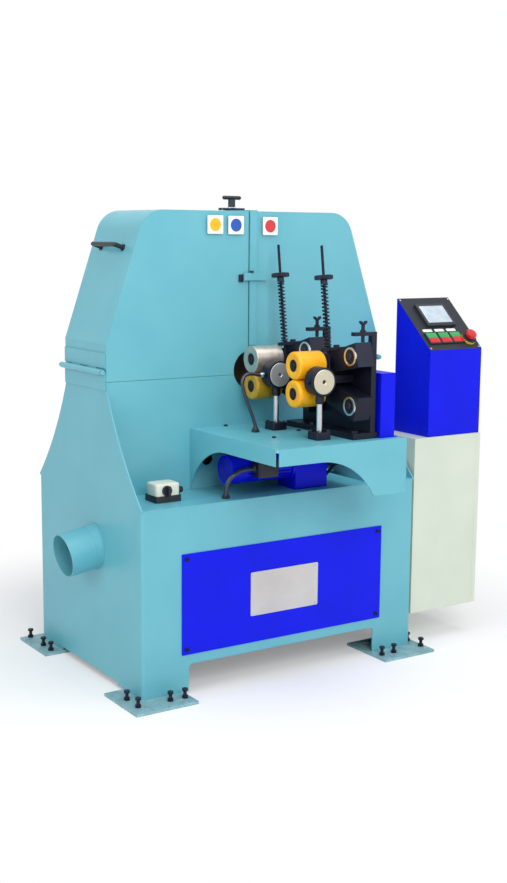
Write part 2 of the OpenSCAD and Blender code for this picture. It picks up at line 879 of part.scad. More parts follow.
module rear_upper_arm() {
  translate([0, pair_pitch, 0]) arm(true);
}

module rear_lower_arm() {
  translate([0, pair_pitch, 0]) arm(false);
}

// Roller: a rounded sleeve on a hub whose shaft runs in the arm
roller_gap = 28;
roller_x = arm_x - roller_gap - roller_l;
hub_d = 40;
hub_out = 6;
sleeve_in = 3;
// Edge rounding of the steel sleeve
steel_edge_r = 1.5;

module roller_sleeve(edge_r) {
  rotate([0, 90, 0]) rotate_extrude($fn = 96) {
    difference() {
      round_rect([0, 0], [roller_d / 2, roller_l], edge_r);
      translate([-roller_d, -over]) square([roller_d + hub_d / 2, roller_l + 2 * over]);
    }
  }
}

module roller(up, p, tint, edge_r) {
  translate([roller_x, front_roller_y + p, feed_z + (up ? 1 : -1) * roller_rise]) {
    color(tint) roller_sleeve(edge_r);
    color("#1d2450") {
      bar_x([sleeve_in, 0, 0], hub_d, roller_l - sleeve_in + hub_out);
      bar_x([roller_l, 0, 0], roller_shaft_d, roller_gap + arm_w);
      translate([sleeve_in - panel_screw_h, 0, 0]) rotate([0, 90, 0]) hex(jack_af, panel_screw_h);
    }
  }
}

module front_upper_roller() {
  roller(true, 0, "#f2b80c", roller_edge_r);
}

module front_lower_roller() {
  roller(false, 0, "#f2b80c", roller_edge_r);
}

module rear_upper_roller() {
  roller(true, pair_pitch, "#c9ccd2", steel_edge_r);
}

module rear_lower_roller() {
  roller(false, pair_pitch, "#d9b52a", roller_edge_r);
}

// Tension rods beside the upper arms, with springs under knurled nuts
module tension_axis() {
  translate([rod_x, rod_foot_y, feed_z]) rotate([-rod_a, 0, 0]) children();
}

// Neck of a knurled nut, on its underside
nut_neck_d = 24;
nut_neck_h = 14;
spring_low = rod_seat_up + seat + spring_wire / 2;
spring_high = nut_up - nut_neck_h - seat - spring_wire / 2;

module tension_rods() {
  color("#2a2d3a") for (p = pitches) translate([0, p, 0]) tension_axis()
    translate([0, 0, -anchor_h / 2]) cylinder(d = rod_d, h = rod_l + anchor_h / 2);
}

module knurled_nut(p) {
  color("#23242c") translate([0, p, 0]) tension_axis() translate([0, 0, nut_up]) difference() {
    union() {
      cylinder(d = nut_d, h = nut_t, $fn = 96);
      translate([0, 0, -nut_neck_h]) cylinder(d = nut_neck_d, h = nut_neck_h + over);
    }
    translate([0, 0, -nut_neck_h - over]) cylinder(d = rod_d + 2 * pivot_fit,
        h = nut_neck_h + nut_t + 2 * over);
  }
}

module front_nut() {
  knurled_nut(0);
}

module rear_nut() {
  knurled_nut(pair_pitch);
}

// Coil spring as one tube swept along its helix
spring_rings = 8;
spring_sides = 6;

function helix_point(i, n, r, z0, z1) = let (t = i / n, a = 360 * spring_turns * t)
  [r * cos(a), r * sin(a), z0 + (z1 - z0) * t];
function ring_point(i, k, n, r, z0, z1) = let (a = 360 * spring_turns * i / n, b = 360 * k / spring_sides,
  c = helix_point(i, n, r, z0, z1), w = spring_wire / 2)
  c + [w * cos(b) * cos(a), w * cos(b) * sin(a), w * sin(b)];

module coil_spring() {
  n = spring_turns * spring_rings;
  s = spring_sides;
  points = [for (i = [0 : n], k = [0 : s - 1]) ring_point(i, k, n, spring_d / 2, spring_low, spring_high)];
  sides = [for (i = [0 : n - 1], k = [0 : s - 1]) let (a = i * s + k, b = i * s + (k + 1) % s)
    each [[a, a + s, b], [b, a + s, b + s]]];
  first = [for (k = [1 : s - 2]) [0, k, k + 1]];
  last = [for (k = [1 : s - 2]) [n * s, n * s + k + 1, n * s + k]];
  polyhedron(points, concat(sides, first, last));
}

spring_pitch = (spring_high - spring_low) / spring_turns;
echo(spring_self_gap = spring_pitch - spring_wire);

module front_spring() {
  color("#1d2030") tension_axis() coil_spring();
}

module rear_spring() {
  color("#1d2030") translate([0, pair_pitch, 0]) tension_axis() coil_spring();
}

wing_x = arm_x + arm_w * 0.56;
wing_d = 12;
arm_top_z = feed_z + pivot_rise + arm_h / 2 / cos(arm_a) + bracket_lead * tan(arm_a);
wing_tip_z = arm_top_z + wing_d / 2 * tan(arm_a) + seat;

module stop_brackets() {
  y0 = bracket_y - bracket_l / 2;
  low = bracket_top - bracket_lug_t;
  color("#1e2230") for (p = pitches) translate([0, p, 0]) difference() {
    block([arm_x - bracket_out, y0, low], [carrier_x + carrier_t, y0 + bracket_l, bracket_top]);
    bar_z([wing_x, bracket_y, low - over], wing_d + 2 * pivot_fit, bracket_lug_t + 2 * over);
  }
}

// Wing screw: a shank through the bracket, a collar and two raised wings
wing_h = 36;
wing_span = 30;

module wing_screw(p) {
  color("#22262e") translate([wing_x, bracket_y + p, 0]) {
    bar_z([0, 0, wing_tip_z], wing_d, bracket_top - wing_tip_z + wing_h - wing_d);
    bar_z([0, 0, bracket_top + seat], wing_d * 1.6, wing_d / 2);
    translate([0, 0, bracket_top + wing_h - wing_d]) rotate([90, 0, 0]) translate([0, 0, -wing_d / 4])
      linear_extrude(wing_d / 2) for (m = [0, 1]) mirror([m, 0])
        polygon([[0, -wing_d / 2], [wing_span / 2, wing_d / 2], [wing_span / 2, wing_d],
            [wing_span / 4, wing_d],
          [0, wing_d / 3]]);
  }
}

module front_wing_screw() {
  wing_screw(0);
}

module rear_wing_screw() {
  wing_screw(pair_pitch);
}

// Guard over the feed chain
guard_x = feed_base_end_x + arm_gap;
guard_w = 59;
guard_t = 2;
guard_lead = 36;
guard_lag = 90;
guard_y0 = pivot_y - guard_lead;
guard_y1 = pivot_y + pair_pitch + guard_lag;
guard_h = 214;
guard_foot = 14;

module drive_guard() {
  color("#0012e6") {
    difference() {
      block([guard_x, guard_y0, table_z], [guard_x + guard_w, guard_y1, table_z + guard_h]);
      block([guard_x + guard_t, guard_y0 + guard_t, table_z - over],
        [guard_x + guard_w - guard_t, guard_y1 - guard_t, table_z + guard_h - guard_t]);
    }
    block([guard_x + guard_w, guard_y0, table_z], [guard_x + guard_w + guard_foot, guard_y1,
        table_z + guard_t]);
  }
}

// Feed chain and the sprocket that drives it
sprocket_d = 50;
chain_y0 = pivot_y + sprocket_d;
chain_y1 = guard_y1 - sprocket_d / 4;
sprocket_x = guard_x + guard_w / 2;
sprocket_w = 8;
motor_shaft_y = -300;
motor_shaft_z = 690;
chain_t = 6;
chain_w = 12;
idler_z = table_z + guard_h / 2;

module chain_loop(grow) {
  path = [[motor_shaft_y, motor_shaft_z], [pivot_y, idler_z], [pivot_y + pair_pitch, idler_z]];
  for (i = [0 : 2]) {
    a = path[i];
    b = path[(i + 1) % 3];
    d = (b - a) / norm(b - a);
    nrm = [d.y, -d.x] * (sprocket_d / 2 + grow);
    polygon([a - nrm, b - nrm, b, a]);
    polygon([a + nrm, b + nrm, b, a]);
    translate(a) circle(sprocket_d / 2 + grow);
  }
  polygon(path);
}

module drive_chain() {
  color("#4a4a4e") {
    along_x(sprocket_x - chain_w / 2, chain_w) difference() {
      chain_loop(chain_t);
      chain_loop(seat);
    }
    for (p = pitches) {
      bar_x([sprocket_x - chain_w / 2, pivot_y + p, idler_z], sprocket_d, chain_w);
      bar_x([guard_x + guard_t, pivot_y + p, idler_z], roller_shaft_d, guard_w - 2 * guard_t);
    }
  }
}

gear_face_x = 196;
// Depth of the bores that hold the driving shafts
shaft_in = 40;

module feed_sprocket() {
  color("#7a7c82") {
    bar_x([sprocket_x - sprocket_w / 2, motor_shaft_y, motor_shaft_z], sprocket_d, sprocket_w);
    bar_x([gear_face_x - shaft_in + seat, motor_shaft_y, motor_shaft_z], roller_shaft_d,
      table_right - gear_face_x - 2 * table_t + shaft_in);
  }
}

// Work guides on posts: base block, post, and a clamped ring holder with a drilled disc
guide_y = -574;
post_top = feed_z - guide_d / 2 - guide_travel - 2 * over;

module guide_stands() {
  for (p = pitches) translate([0, guide_y + p, table_z]) {
    color("#1e2230") translate([-guide_base_w / 2, -guide_base_w / 2, 0]) difference() {
      cube([guide_base_w, guide_base_w, guide_base_h]);
      translate([guide_base_w / 2, guide_base_w / 2, guide_base_h / 4]) cylinder(d = post_d,
          h = guide_base_h);
    }
    color("#c9ccd2") translate([0, 0, guide_base_h / 4]) cylinder(d = post_d,
        h = post_top - table_z - guide_base_h / 4);
  }
}

clamp_h = 26;
clamp_d = 28;
bush_lip = 1;
boss_out = 6;

module guide(p) {
  translate([0, guide_y + p, 0]) {
    color("#1b1f29") difference() {
      union() {
        bar_y([0, -guide_l / 2, feed_z], guide_d, guide_l);
        bar_z([0, 0, feed_z - guide_d / 2 - clamp_h], clamp_d, clamp_h + guide_d / 8);
        bar_x([-guide_d / 2 - boss_out, 0, feed_z], clamp_d / 2, guide_d / 8);
      }
      bar_y([0, -guide_l, feed_z], guide_disc_d, guide_l * 2);
      bar_z([0, 0, feed_z - guide_d / 2 - clamp_h - over], post_d + 2 * post_fit, clamp_h);
    }
    color("#d0d3d8") difference() {
      bar_y([0, -guide_l / 2 - bush_lip, feed_z], guide_disc_d, guide_l + 2 * bush_lip);
      bar_y([0, -guide_l, feed_z], guide_bore_d, guide_l * 2);
    }
  }
}

module front_guide() {
  guide(0);
}

module rear_guide() {
  guide(pair_pitch);
}

// Swept tube along hand-chosen points
tube_sides = 10;

function unit(v) = v / norm(v);
function tube_dir(p, i) = unit(p[min(i + 1, len(p) - 1)] - p[max(i - 1, 0)]);
function tube_side(d) = unit(cross(d, abs(d.y) < 0.8 ? [0, 1, 0] : [1, 0, 0]));

module tube(p, r) {
  n = len(p);
  s = tube_sides;
  points = [for (i = [0 : n - 1]) let (d = tube_dir(p, i), u = tube_side(d), v = cross(d, u))
    for (k = [0 : s - 1]) p[i] + r * (u * cos(360 * k / s) + v * sin(360 * k / s))];
  sides = [for (i = [0 : n - 2], k = [0 : s - 1]) let (a = i * s + k, b = i * s + (k + 1) % s)
    each [[a, b, a + s], [b, b + s, a + s]]];
  first = [for (k = [1 : s - 2]) [0, k + 1, k]];
  last = [for (k = [1 : s - 2]) [(n - 1) * s, (n - 1) * s + k, (n - 1) * s + k + 1]];
  polyhedron(points, concat(sides, first, last));
}

// Air lead from a gland in the table to the side of the rear guide
lead_d = 12;
lead_path = [[-96, -340, 852], [-96, -340, 866], [-98, -338, 882], [-106, -335, 908], [-118, -332, 940],
  [-129, -329, 970], [-137, -326, 998], [-139, -323, 1020], [-134, -321, 1036], [-121, -321, 1046],
  [-102, -321, 1048], [-82, -321, 1045], [-66, -321, 1042], [-54, -321, 1042]];

module air_lead() {
  color("#1b2236") tube(lead_path, lead_d / 2);
}

// Power cable from the ledge to the feed motor's terminal box
cable_d = 16;
cable_path = [[-220, -352, 638], [-220, -352, 662], [-217, -354, 684], [-208, -358, 703], [-192, -362, 718],
  [-172, -364, 728], [-150, -364, 731], [-128, -362, 731], [-108, -362, 731]];

module motor_cable() {
  color("#1b2236") tube(cable_path, cable_d / 2);
}

// Feed gear motor under the table
motor_d = 100;
motor_z = 724;
motor_x0 = -190;
motor_x1 = 62;
cowl_l = 52;
rib_t = 10;
flange_d = 116;
fin_n = 24;
fin_depth = 5;
fin_w = 4;
gear_size = [gear_face_x - motor_x1, 110, 2 * (motor_shaft_z - ledge_z - arm_gap)];
term_size = [80, 40, 62];
term_x = -108;
term_in = 8;
term_up = 6;

module feed_gearmotor() {
  color("#0426c8") {
    bar_x([motor_x0, motor_shaft_y, motor_z], motor_d, cowl_l);
    difference() {
      bar_x([motor_x0 + cowl_l, motor_shaft_y, motor_z], motor_d, motor_x1 - motor_x0 - cowl_l - rib_t);
      for (i = [0 : fin_n - 1])
        translate([motor_x0 + cowl_l + rib_t, motor_shaft_y, motor_z]) rotate([i * 360 / fin_n, 0, 0])
          translate([0, -fin_w / 2, motor_d / 2 - fin_depth])
            cube([motor_x1 - motor_x0 - cowl_l - 3 * rib_t, fin_w, 2 * fin_depth]);
    }
    bar_x([motor_x1 - rib_t, motor_shaft_y, motor_z], flange_d, rib_t);
    difference() {
      block([motor_x1, motor_shaft_y - gear_size.y / 2, motor_shaft_z - gear_size.z / 2],
        [gear_face_x, motor_shaft_y + gear_size.y / 2, motor_shaft_z + gear_size.z / 2]);
      bar_x([gear_face_x - shaft_in, motor_shaft_y, motor_shaft_z], roller_shaft_d + 2 * pivot_fit,
          shaft_in + over);
    }
    block([motor_x1 + rib_t, motor_shaft_y - gear_size.y / 2, motor_shaft_z + gear_size.z / 2],
      [gear_face_x - rib_t, motor_shaft_y + gear_size.y / 2, table_z - table_t]);
  }
  color("#22262e") block([term_x, motor_shaft_y - motor_d / 2 - term_size.y + term_in,
      motor_z - term_size.z / 2 + term_up],
    [term_x + term_size.x, motor_shaft_y - motor_d / 2 + term_in, motor_z + term_size.z / 2 + term_up]);
}

// Main isolator on the ledge
iso_x = -463;
iso_y = -311;
iso_w = 96;
iso_d = 80;
iso_h = 62;
iso_base_h = 22;
iso_cover_in = 3;
iso_knob_d = 34;
iso_knob_h = 24;
iso_gland_d = 24;

module isolator_box() {
  color("#22262e") block([iso_x, iso_y, ledge_z], [iso_x + iso_w, iso_y + iso_d, ledge_z + iso_base_h]);
  color("#d8dac8") block([iso_x + iso_cover_in, iso_y + iso_cover_in, ledge_z + iso_base_h],
    [iso_x + iso_w - iso_cover_in, iso_y + iso_d - iso_cover_in, ledge_z + iso_h]);
  color("#22262e") bar_x([iso_x + iso_w, iso_y + iso_d / 2, ledge_z + iso_h / 2], iso_gland_d, iso_gland_d);
}

module isolator_knob() {
  color("#15171c") translate([iso_x + iso_w * 0.42, iso_y + iso_cover_in - seat, ledge_z + iso_h * 0.64])
    rotate([90, 0, 0]) {
    cylinder(d = iso_knob_d, h = iso_knob_h / 3);
    translate([-iso_knob_d / 8, -iso_knob_d / 2, iso_knob_h / 3]) cube([iso_knob_d / 4, iso_knob_d,
        iso_knob_h * 2 / 3]);
  }
}

// Control cabinet hung on the right side plate
cab_x0 = half_w + cabinet_gap;
cab_x1 = cab_x0 + cabinet_w;
cab_lag = 12;
cab_y0 = -half_d + cab_lag;
cab_y1 = cab_y0 + cabinet_d;
cab_top = cabinet_z + cabinet_h;
cab_t = 2.5;
cab_lip = 14;
bracket_w = 60;

module cabinet_box() {
  color("#cdd5c3") difference() {
    block([cab_x0, cab_y0, cabinet_z], [cab_x1, cab_y1, cab_top]);
    block([cab_x0 + cab_t, cab_y0 + cab_t, cabinet_z + cab_t], [cab_x1 - cab_t, cab_y1 - cab_t,
        cab_top - cab_t]);
    block([cab_x1 - 2 * cab_t, cab_y0 + cab_lip, cabinet_z + cab_lip],
      [cab_x1 + over, cab_y1 - cab_lip, cab_top - cab_lip]);
  }
  color("#6bc3cc") for (y = [cab_y0 + bracket_w, cab_y1 - 2 * bracket_w],
                        z = [cabinet_z + bracket_w, ledge_z - 2 * bracket_w])
    block([half_w, y, z], [cab_x0, y + bracket_w, z + bracket_w]);
  color("#b9bcc0") for (s = door_hinge_share) {
    z = cabinet_z + s * cabinet_h + door_barrel_l + seat;
    block([cab_x1 - bracket_w, cab_y1, z], [cab_x1, cab_y1 + 2 * over, z + door_barrel_l]);
    door_barrel(z, cab_x1 - over, door_pin_x, cab_y1 + seat, door_pin_d);
    bar_z([door_pin_x, door_pin_y, z - door_barrel_l - seat], door_pin_d, 2 * door_barrel_l + seat);
  }
  color("#b9bcc0") block([cab_x0 + 5 * cab_t, cab_y0 + 2 * cab_lip, cabinet_z + 2 * cab_lip],
    [cab_x0 + 6 * cab_t, cab_y1 - 2 * cab_lip, cab_top - 2 * cab_lip]);
  color("#b9bcc0") for (y = [cab_y0 + 3 * cab_lip, cab_y1 - 4 * cab_lip],
                        z = [cabinet_z + 3 * cab_lip, cab_top - 4 * cab_lip])
    block([cab_x0 + cab_t, y, z], [cab_x0 + 5 * cab_t, y + cab_lip, z + cab_lip]);
}

// Side door of the cabinet, hinged at the rear edge on two barrel hinges
door_gap = seat;
door_barrel_d = 12;
door_pin_d = 6;
door_barrel_l = 40;
door_pin_x = cab_x1 + door_t / 2;
door_pin_y = cab_y1 + door_barrel_d / 2 + over;
door_hinge_share = [0.18, 0.78];
lock_d = 26;
lock_h = 6;

// Barrel with a tongue from x0 to x1, back to the edge y0 that carries it
module door_barrel(z, x0, x1, y0, bore) {
  difference() {
    union() {
      bar_z([door_pin_x, door_pin_y, z], door_barrel_d, door_barrel_l);
      block([x0, y0, z], [x1, door_pin_y, z + door_barrel_l]);
    }
    bar_z([door_pin_x, door_pin_y, z - over], bore, door_barrel_l + 2 * over);
  }
}

module cabinet_door() {
  color("#cdd5c3") {
    difference() {
      block([cab_x1 + door_gap, cab_y0, cabinet_z + over], [cab_x1 + door_t, cab_y1, cab_top - over]);
      block([cab_x1 + door_gap - over, cab_y0 + cab_t, cabinet_z + over + cab_t],
        [cab_x1 + door_t - cab_t, cab_y1 - cab_t, cab_top - over - cab_t]);
    }
    for (s = door_hinge_share)
      door_barrel(cabinet_z + s * cabinet_h, door_pin_x, door_pin_x + door_barrel_d / 2, cab_y1 - over,
        door_pin_d + 2 * hinge_fit);
  }
  color("#22262e") bar_x([cab_x1 + door_t, cab_y0 + 2 * cab_lip, cabinet_z + cabinet_h / 2], lock_d,
      lock_h);
}

// Operator console on top of the cabinet
con_in = 66;
con_lag = 7;
con_t = 2;
con_back = 12;
con_x0 = cab_x0 + con_in;
con_y0 = cab_y0 + con_lag;
con_z0 = cab_top;
con_front_z = con_z0 + console_front_h;
screen_w = 138;
screen_h = 110;
screen_x = 121;
screen_s = 168;
screen_t = 12;
button_row_s = 56;
button_pitch = 57;
button_first_x = 45;
button_w = 46;
button_h = 24;
button_gap = 0.3;
button_frame = 3.5;
button_frame_t = 6;
button_depth = 8;
estop_x = 213.5;
estop_s = 48;
estop_ring_d = 58;
estop_head_d = 42;
estop_travel = 6;
estop_stem_d = 25;
estop_head_h = 16;

// Places a child on the sloped panel, x across and s up the slope, axis out of the panel
module on_panel(x, s) {
  translate([con_x0, con_y0, con_front_z]) rotate([panel_a, 0, 0]) translate([x, s, 0]) children();
}

// Side view of the console, moved in by its walls and by the depth of its panel unit
module console_outline(wall, back) {
  polygon([[con_y0 + wall, con_z0 + wall], [con_y0 + console_d - wall, con_z0 + wall],
    [con_y0 + console_d - wall, con_front_z + (console_d - wall) * tan(panel_a) - back / cos(panel_a)],
    [con_y0 + wall, con_front_z + wall * tan(panel_a) - back / cos(panel_a)]]);
}

module console_box() {
  color("#0012e6") difference() {
    along_x(con_x0, console_w) console_outline(0, 0);
    along_x(con_x0 + con_t, console_w - 2 * con_t) console_outline(con_t, con_back);
    for (i = [0 : 2]) button_block(i, 0, -button_depth, button_depth + over);
    on_panel(estop_x, estop_s) translate([0, 0, -button_depth])
      cylinder(d = estop_stem_d + 2 * button_gap, h = button_depth + over);
  }
  color("#1b1e24") for (i = [0 : 2]) difference() {
    button_block(i, button_frame, 0, button_frame_t);
    button_block(i, 0, -over, button_frame_t + 2 * over);
  }
  color("#3a3f46") on_panel(screen_x - screen_w / 2, screen_s - screen_h / 2) cube([screen_w, screen_h,
      screen_t]);
  color("#e0b400") on_panel(estop_x, estop_s) difference() {
    cylinder(d = estop_ring_d, h = screen_t);
    translate([0, 0, -over]) cylinder(d = estop_stem_d + 2 * button_gap, h = screen_t + 2 * over);
  }
  color("#22262e") for (z = [con_z0 + 2 * cab_lip, con_front_z - cab_lip])
    bar_x([con_x0 - panel_screw_h, con_y0 + cab_lip, z], panel_screw_d, panel_screw_h);
}

// Outline of a double push button, grown by a frame, between two levels of the panel
module button_block(i, grow, z, h) {
  on_panel(button_first_x + i * button_pitch - button_w / 2 - grow, button_row_s - button_h - grow)
    translate([0, 0, z]) cube([button_w + 2 * grow, 2 * (button_h + grow), h]);
}

module push_button(i, up) {
  z = -button_depth + button_travel + button_gap;
  on_panel(button_first_x + i * button_pitch, button_row_s + (up ? 1 : -1) * button_h / 2)
    translate([-button_w / 2 + button_gap, -button_h / 2 + button_gap, z])
      cube([button_w - 2 * button_gap, button_h - 2 * button_gap,
          button_frame_t + button_travel - z - over]);
}

module start_button_1() {
  color("#1f8f4a") push_button(0, true);
}

module stop_button_1() {
  color("#c02028") push_button(0, false);
}

module start_button_2() {
  color("#1f8f4a") push_button(1, true);
}

module stop_button_2() {
  color("#c02028") push_button(1, false);
}

module start_button_3() {
  color("#1f8f4a") push_button(2, true);
}

module stop_button_3() {
  color("#c02028") push_button(2, false);
}

module estop_head() {
  color("#c8141e") on_panel(estop_x, estop_s) {
    translate([0, 0, estop_travel - button_depth + button_gap]) cylinder(d = estop_stem_d,
        h = screen_t + button_depth);
    translate([0, 0, screen_t + estop_travel + button_gap]) cylinder(d = estop_head_d, h = estop_head_h);
  }
}

// Turning brush head inside the hood
spindle_d = 150;
spindle_bore = 110;
housing_d = 230;
housing_y = 10;
housing_l = 90;
spindle_y0 = -70;
spindle_y1 = 128;
disc_d = 620;
disc_t = 16;
disc_y = -70;
brush_l = 150;
brush_w = 60;
brush_t = 40;
brush_n = 8;
brush_in = 30;
spindle_pulley_d = 210;
spindle_pulley_l = 26;
spindle_fit = 0.08;
housing_foot_w = 320;
cross_h = 60;

module head_housing() {
  color("#3c4048") difference() {
    union() {
      bar_y([0, housing_y - housing_l / 2, feed_z], housing_d, housing_l);
      block([-housing_foot_w / 2, housing_y - housing_l / 2, ledge_z],
        [housing_foot_w / 2, housing_y + housing_l / 2, feed_z - housing_d / 4]);
      block([-inner_w / 2, housing_y - housing_l / 2, ledge_z - cross_h],
        [inner_w / 2, housing_y + housing_l / 2, ledge_z]);
    }
    bar_y([0, -base_d, feed_z], spindle_d + 2 * spindle_fit, 2 * base_d);
    block([-housing_foot_w / 4, -base_d, ledge_z + cross_h],
      [housing_foot_w / 4, base_d, feed_z - housing_d / 2 - cross_h / 2]);
  }
}

module brush_rotor() {
  color("#8a8d92") difference() {
    union() {
      bar_y([0, spindle_y0, feed_z], spindle_d, spindle_y1 - spindle_y0);
      bar_y([0, disc_y, feed_z], disc_d, disc_t);
      bar_y([0, spindle_y1 - spindle_pulley_l, feed_z], spindle_pulley_d, spindle_pulley_l);
    }
    bar_y([0, -base_d, feed_z], spindle_bore, 2 * base_d);
  }
  color("#5b5140") translate([0, disc_y, feed_z]) for (i = [0 : brush_n - 1]) rotate([0,
      i * 360 / brush_n, 0])
    block([-brush_t / 2, -brush_w, spindle_bore / 2 + brush_in], [brush_t / 2, 0,
        spindle_bore / 2 + brush_in + brush_l]);
}

// Main motor in the base, on a bed across the side plates
main_motor_d = 220;
main_motor_l = 330;
main_motor_z = 330;
main_motor_y0 = -250;
motor_bed_t = 12;
main_shaft_d = 38;
motor_pulley_d = 120;
belt_y0 = spindle_y1 - spindle_pulley_l;

motor_foot_h = 10;
motor_foot_in = 50;

module main_motor() {
  low = main_motor_z - main_motor_d / 2 - motor_foot_h;
  rear = main_motor_y0 + main_motor_l;
  color("#30507a") difference() {
    union() {
      bar_y([0, main_motor_y0, main_motor_z], main_motor_d, main_motor_l);
      block([-main_motor_d / 2, main_motor_y0 + motor_foot_in, low],
        [main_motor_d / 2, rear - motor_foot_in, main_motor_z - main_motor_d / 4]);
    }
    bar_y([0, rear - shaft_in, main_motor_z], main_shaft_d + 2 * pivot_fit, shaft_in + over);
  }
  color("#3c4048") block([-inner_w / 2, main_motor_y0, low - motor_bed_t], [inner_w / 2, rear, low]);
}

module motor_pulley() {
  rear = main_motor_y0 + main_motor_l;
  color("#7a7c82") {
    bar_y([0, belt_y0, main_motor_z], motor_pulley_d, spindle_pulley_l);
    bar_y([0, rear - shaft_in + seat, main_motor_z], main_shaft_d, belt_y0 - rear + shaft_in);
  }
}

// V belts as one open loop round both pulleys
belt_t = 9;
belt_w = 18;

module belt_outline(grow) {
  r1 = spindle_pulley_d / 2 + grow;
  r2 = motor_pulley_d / 2 + grow;
  d = feed_z - main_motor_z;
  a = asin((r1 - r2) / d);
  for (m = [0, 1]) mirror([m, 0])
    polygon([[0, feed_z], [r1 * cos(a), feed_z - r1 * sin(a)], [r2 * cos(a),
        main_motor_z - r2 * sin(a)], [0, main_motor_z]]);
  translate([0, feed_z]) circle(r1, $fn = 96);
  translate([0, main_motor_z]) circle(r2, $fn = 96);
}

module drive_belts() {
  color("#17181c") along_y(belt_y0 + (spindle_pulley_l - belt_w) / 2, belt_w) difference() {
    belt_outline(belt_t);
    belt_outline(seat);
  }
}

foot_plates();
jack_screws();
end_walls();
side_plates();
ledge_plates();
neck_walls();
access_panel();
panel_screws();
dust_spigot();
fixed_hinge_leaves();
feed_table();
feed_base();
arm_carriers();
tension_rods();
front_spring();
rear_spring();
stop_brackets();
drive_guard();
guide_stands();
air_lead();
feed_gearmotor();
motor_cable();
isolator_box();
cabinet_box();
console_box();
head_housing();
main_motor();
drive_chain();
drive_belts();
left_cover();
pull_handle();
right_cover();
cover_latch();
clamp_knob();
front_upper_arm();
front_lower_arm();
rear_upper_arm();
rear_lower_arm();
front_upper_roller();
front_lower_roller();
rear_upper_roller();
rear_lower_roller();
front_nut();
rear_nut();
front_wing_screw();
rear_wing_screw();
front_guide();
rear_guide();
isolator_knob();
cabinet_door();
start_button_1();
stop_button_1();
start_button_2();
stop_button_2();
start_button_3();
stop_button_3();
estop_head();
brush_rotor();
motor_pulley();
feed_sprocket();
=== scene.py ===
"""Looks of a tube deburring machine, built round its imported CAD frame. Lengths in the calls are millimetres."""

import math

import bmesh
import bpy
import numpy as np
from mathutils import Euler, Matrix, Vector


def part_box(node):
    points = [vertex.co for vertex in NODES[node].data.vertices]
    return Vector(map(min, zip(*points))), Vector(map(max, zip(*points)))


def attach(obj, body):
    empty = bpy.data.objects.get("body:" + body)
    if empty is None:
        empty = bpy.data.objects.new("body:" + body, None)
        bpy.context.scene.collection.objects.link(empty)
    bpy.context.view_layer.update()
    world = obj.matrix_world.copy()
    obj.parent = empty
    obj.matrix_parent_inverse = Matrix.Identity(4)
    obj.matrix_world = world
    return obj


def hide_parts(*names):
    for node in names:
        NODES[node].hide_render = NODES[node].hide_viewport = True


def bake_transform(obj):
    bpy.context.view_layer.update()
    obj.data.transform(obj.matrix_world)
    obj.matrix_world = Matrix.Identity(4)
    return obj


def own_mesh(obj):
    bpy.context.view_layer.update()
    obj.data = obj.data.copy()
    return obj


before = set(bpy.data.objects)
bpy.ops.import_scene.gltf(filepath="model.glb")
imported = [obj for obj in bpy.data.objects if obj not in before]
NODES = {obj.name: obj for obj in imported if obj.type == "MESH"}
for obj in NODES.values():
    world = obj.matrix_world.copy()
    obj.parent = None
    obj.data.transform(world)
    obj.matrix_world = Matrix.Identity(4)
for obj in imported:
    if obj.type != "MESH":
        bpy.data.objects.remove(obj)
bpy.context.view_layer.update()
MM = 0.001

# ---------------------------------------------------------------- camera, floor and light

EYE = Vector((-2448.5, -3921.0, 1510.0)) * MM
YAW, PITCH, ROLL = 33.22, 9.156, 0.487
LENS, SENSOR = 52.23, 36.0


def make_camera():
    """Camera at standing eye height, turned right of the machine's depth axis and tipped down."""
    data = bpy.data.cameras.new("view_camera")
    data.sensor_width, data.lens = SENSOR, LENS
    data.clip_start, data.clip_end = 0.05, 100
    camera = bpy.data.objects.new("view_camera", data)
    turn = Euler((math.radians(90 - PITCH), 0, math.radians(-YAW))).to_matrix()
    camera.matrix_world = Matrix.Translation(EYE) @ (turn @ Matrix.Rotation(math.radians(ROLL), 3, "Z")).to_4x4()
    bpy.context.scene.collection.objects.link(camera)
    bpy.context.scene.camera = camera


def linear(text):
    """sRGB hex colour as linear RGBA."""
    parts = [int(text[i : i + 2], 16) / 255 for i in (1, 3, 5)]
    return (*[c / 12.92 if c <= 0.04045 else ((c + 0.055) / 1.055) ** 2.4 for c in parts], 1.0)


def add(tree, kind, inputs=None, **settings):
    """Adds one node: settings are its own properties, inputs its sockets' values or the outputs linked to
    them."""
    made = tree.nodes.new(kind)
    for key, value in settings.items():
        setattr(made, key, value)
    for key, value in (inputs or {}).items():
        if isinstance(value, bpy.types.NodeSocket):
            tree.links.new(value, made.inputs[key])
        else:
            made.inputs[key].default_value = value
    return made


def fresh_tree(owner):
    owner.use_nodes = True
    owner.node_tree.nodes.clear()
    return owner.node_tree


def seen_directly(tree):
    """1 for rays that look at the backdrop straight, in a mirror or through glass, 0 for rays that light."""
    path = add(tree, "ShaderNodeLightPath")
    both = add(
        tree, "ShaderNodeMath", {0: path.outputs["Is Camera Ray"], 1: path.outputs["Is Glossy Ray"]},
        operation="MAXIMUM"
    )
    return add(
        tree, "ShaderNodeMath", {0: both.outputs[0], 1: path.outputs["Is Transmission Ray"]}, operation="MAXIMUM"
    ).outputs[0]


WORLD_LIGHT = 0.44
FLOOR_CLEAR, FLOOR_WHITE = 0.9, 1.8  # metres from the middle over which the floor fades into the backdrop
LIGHTS = [
    ("key_light", (-1.6, -5.9, 4.1), 3.0, 205),
    ("top_light", (0.2, -1.2, 5.2), 4.0, 110),
    ("side_light", (4.5, -3.6, 2.6), 2.5, 40),
    ("left_light", (-5.2, -1.2, 3.0), 3.0, 85),
]


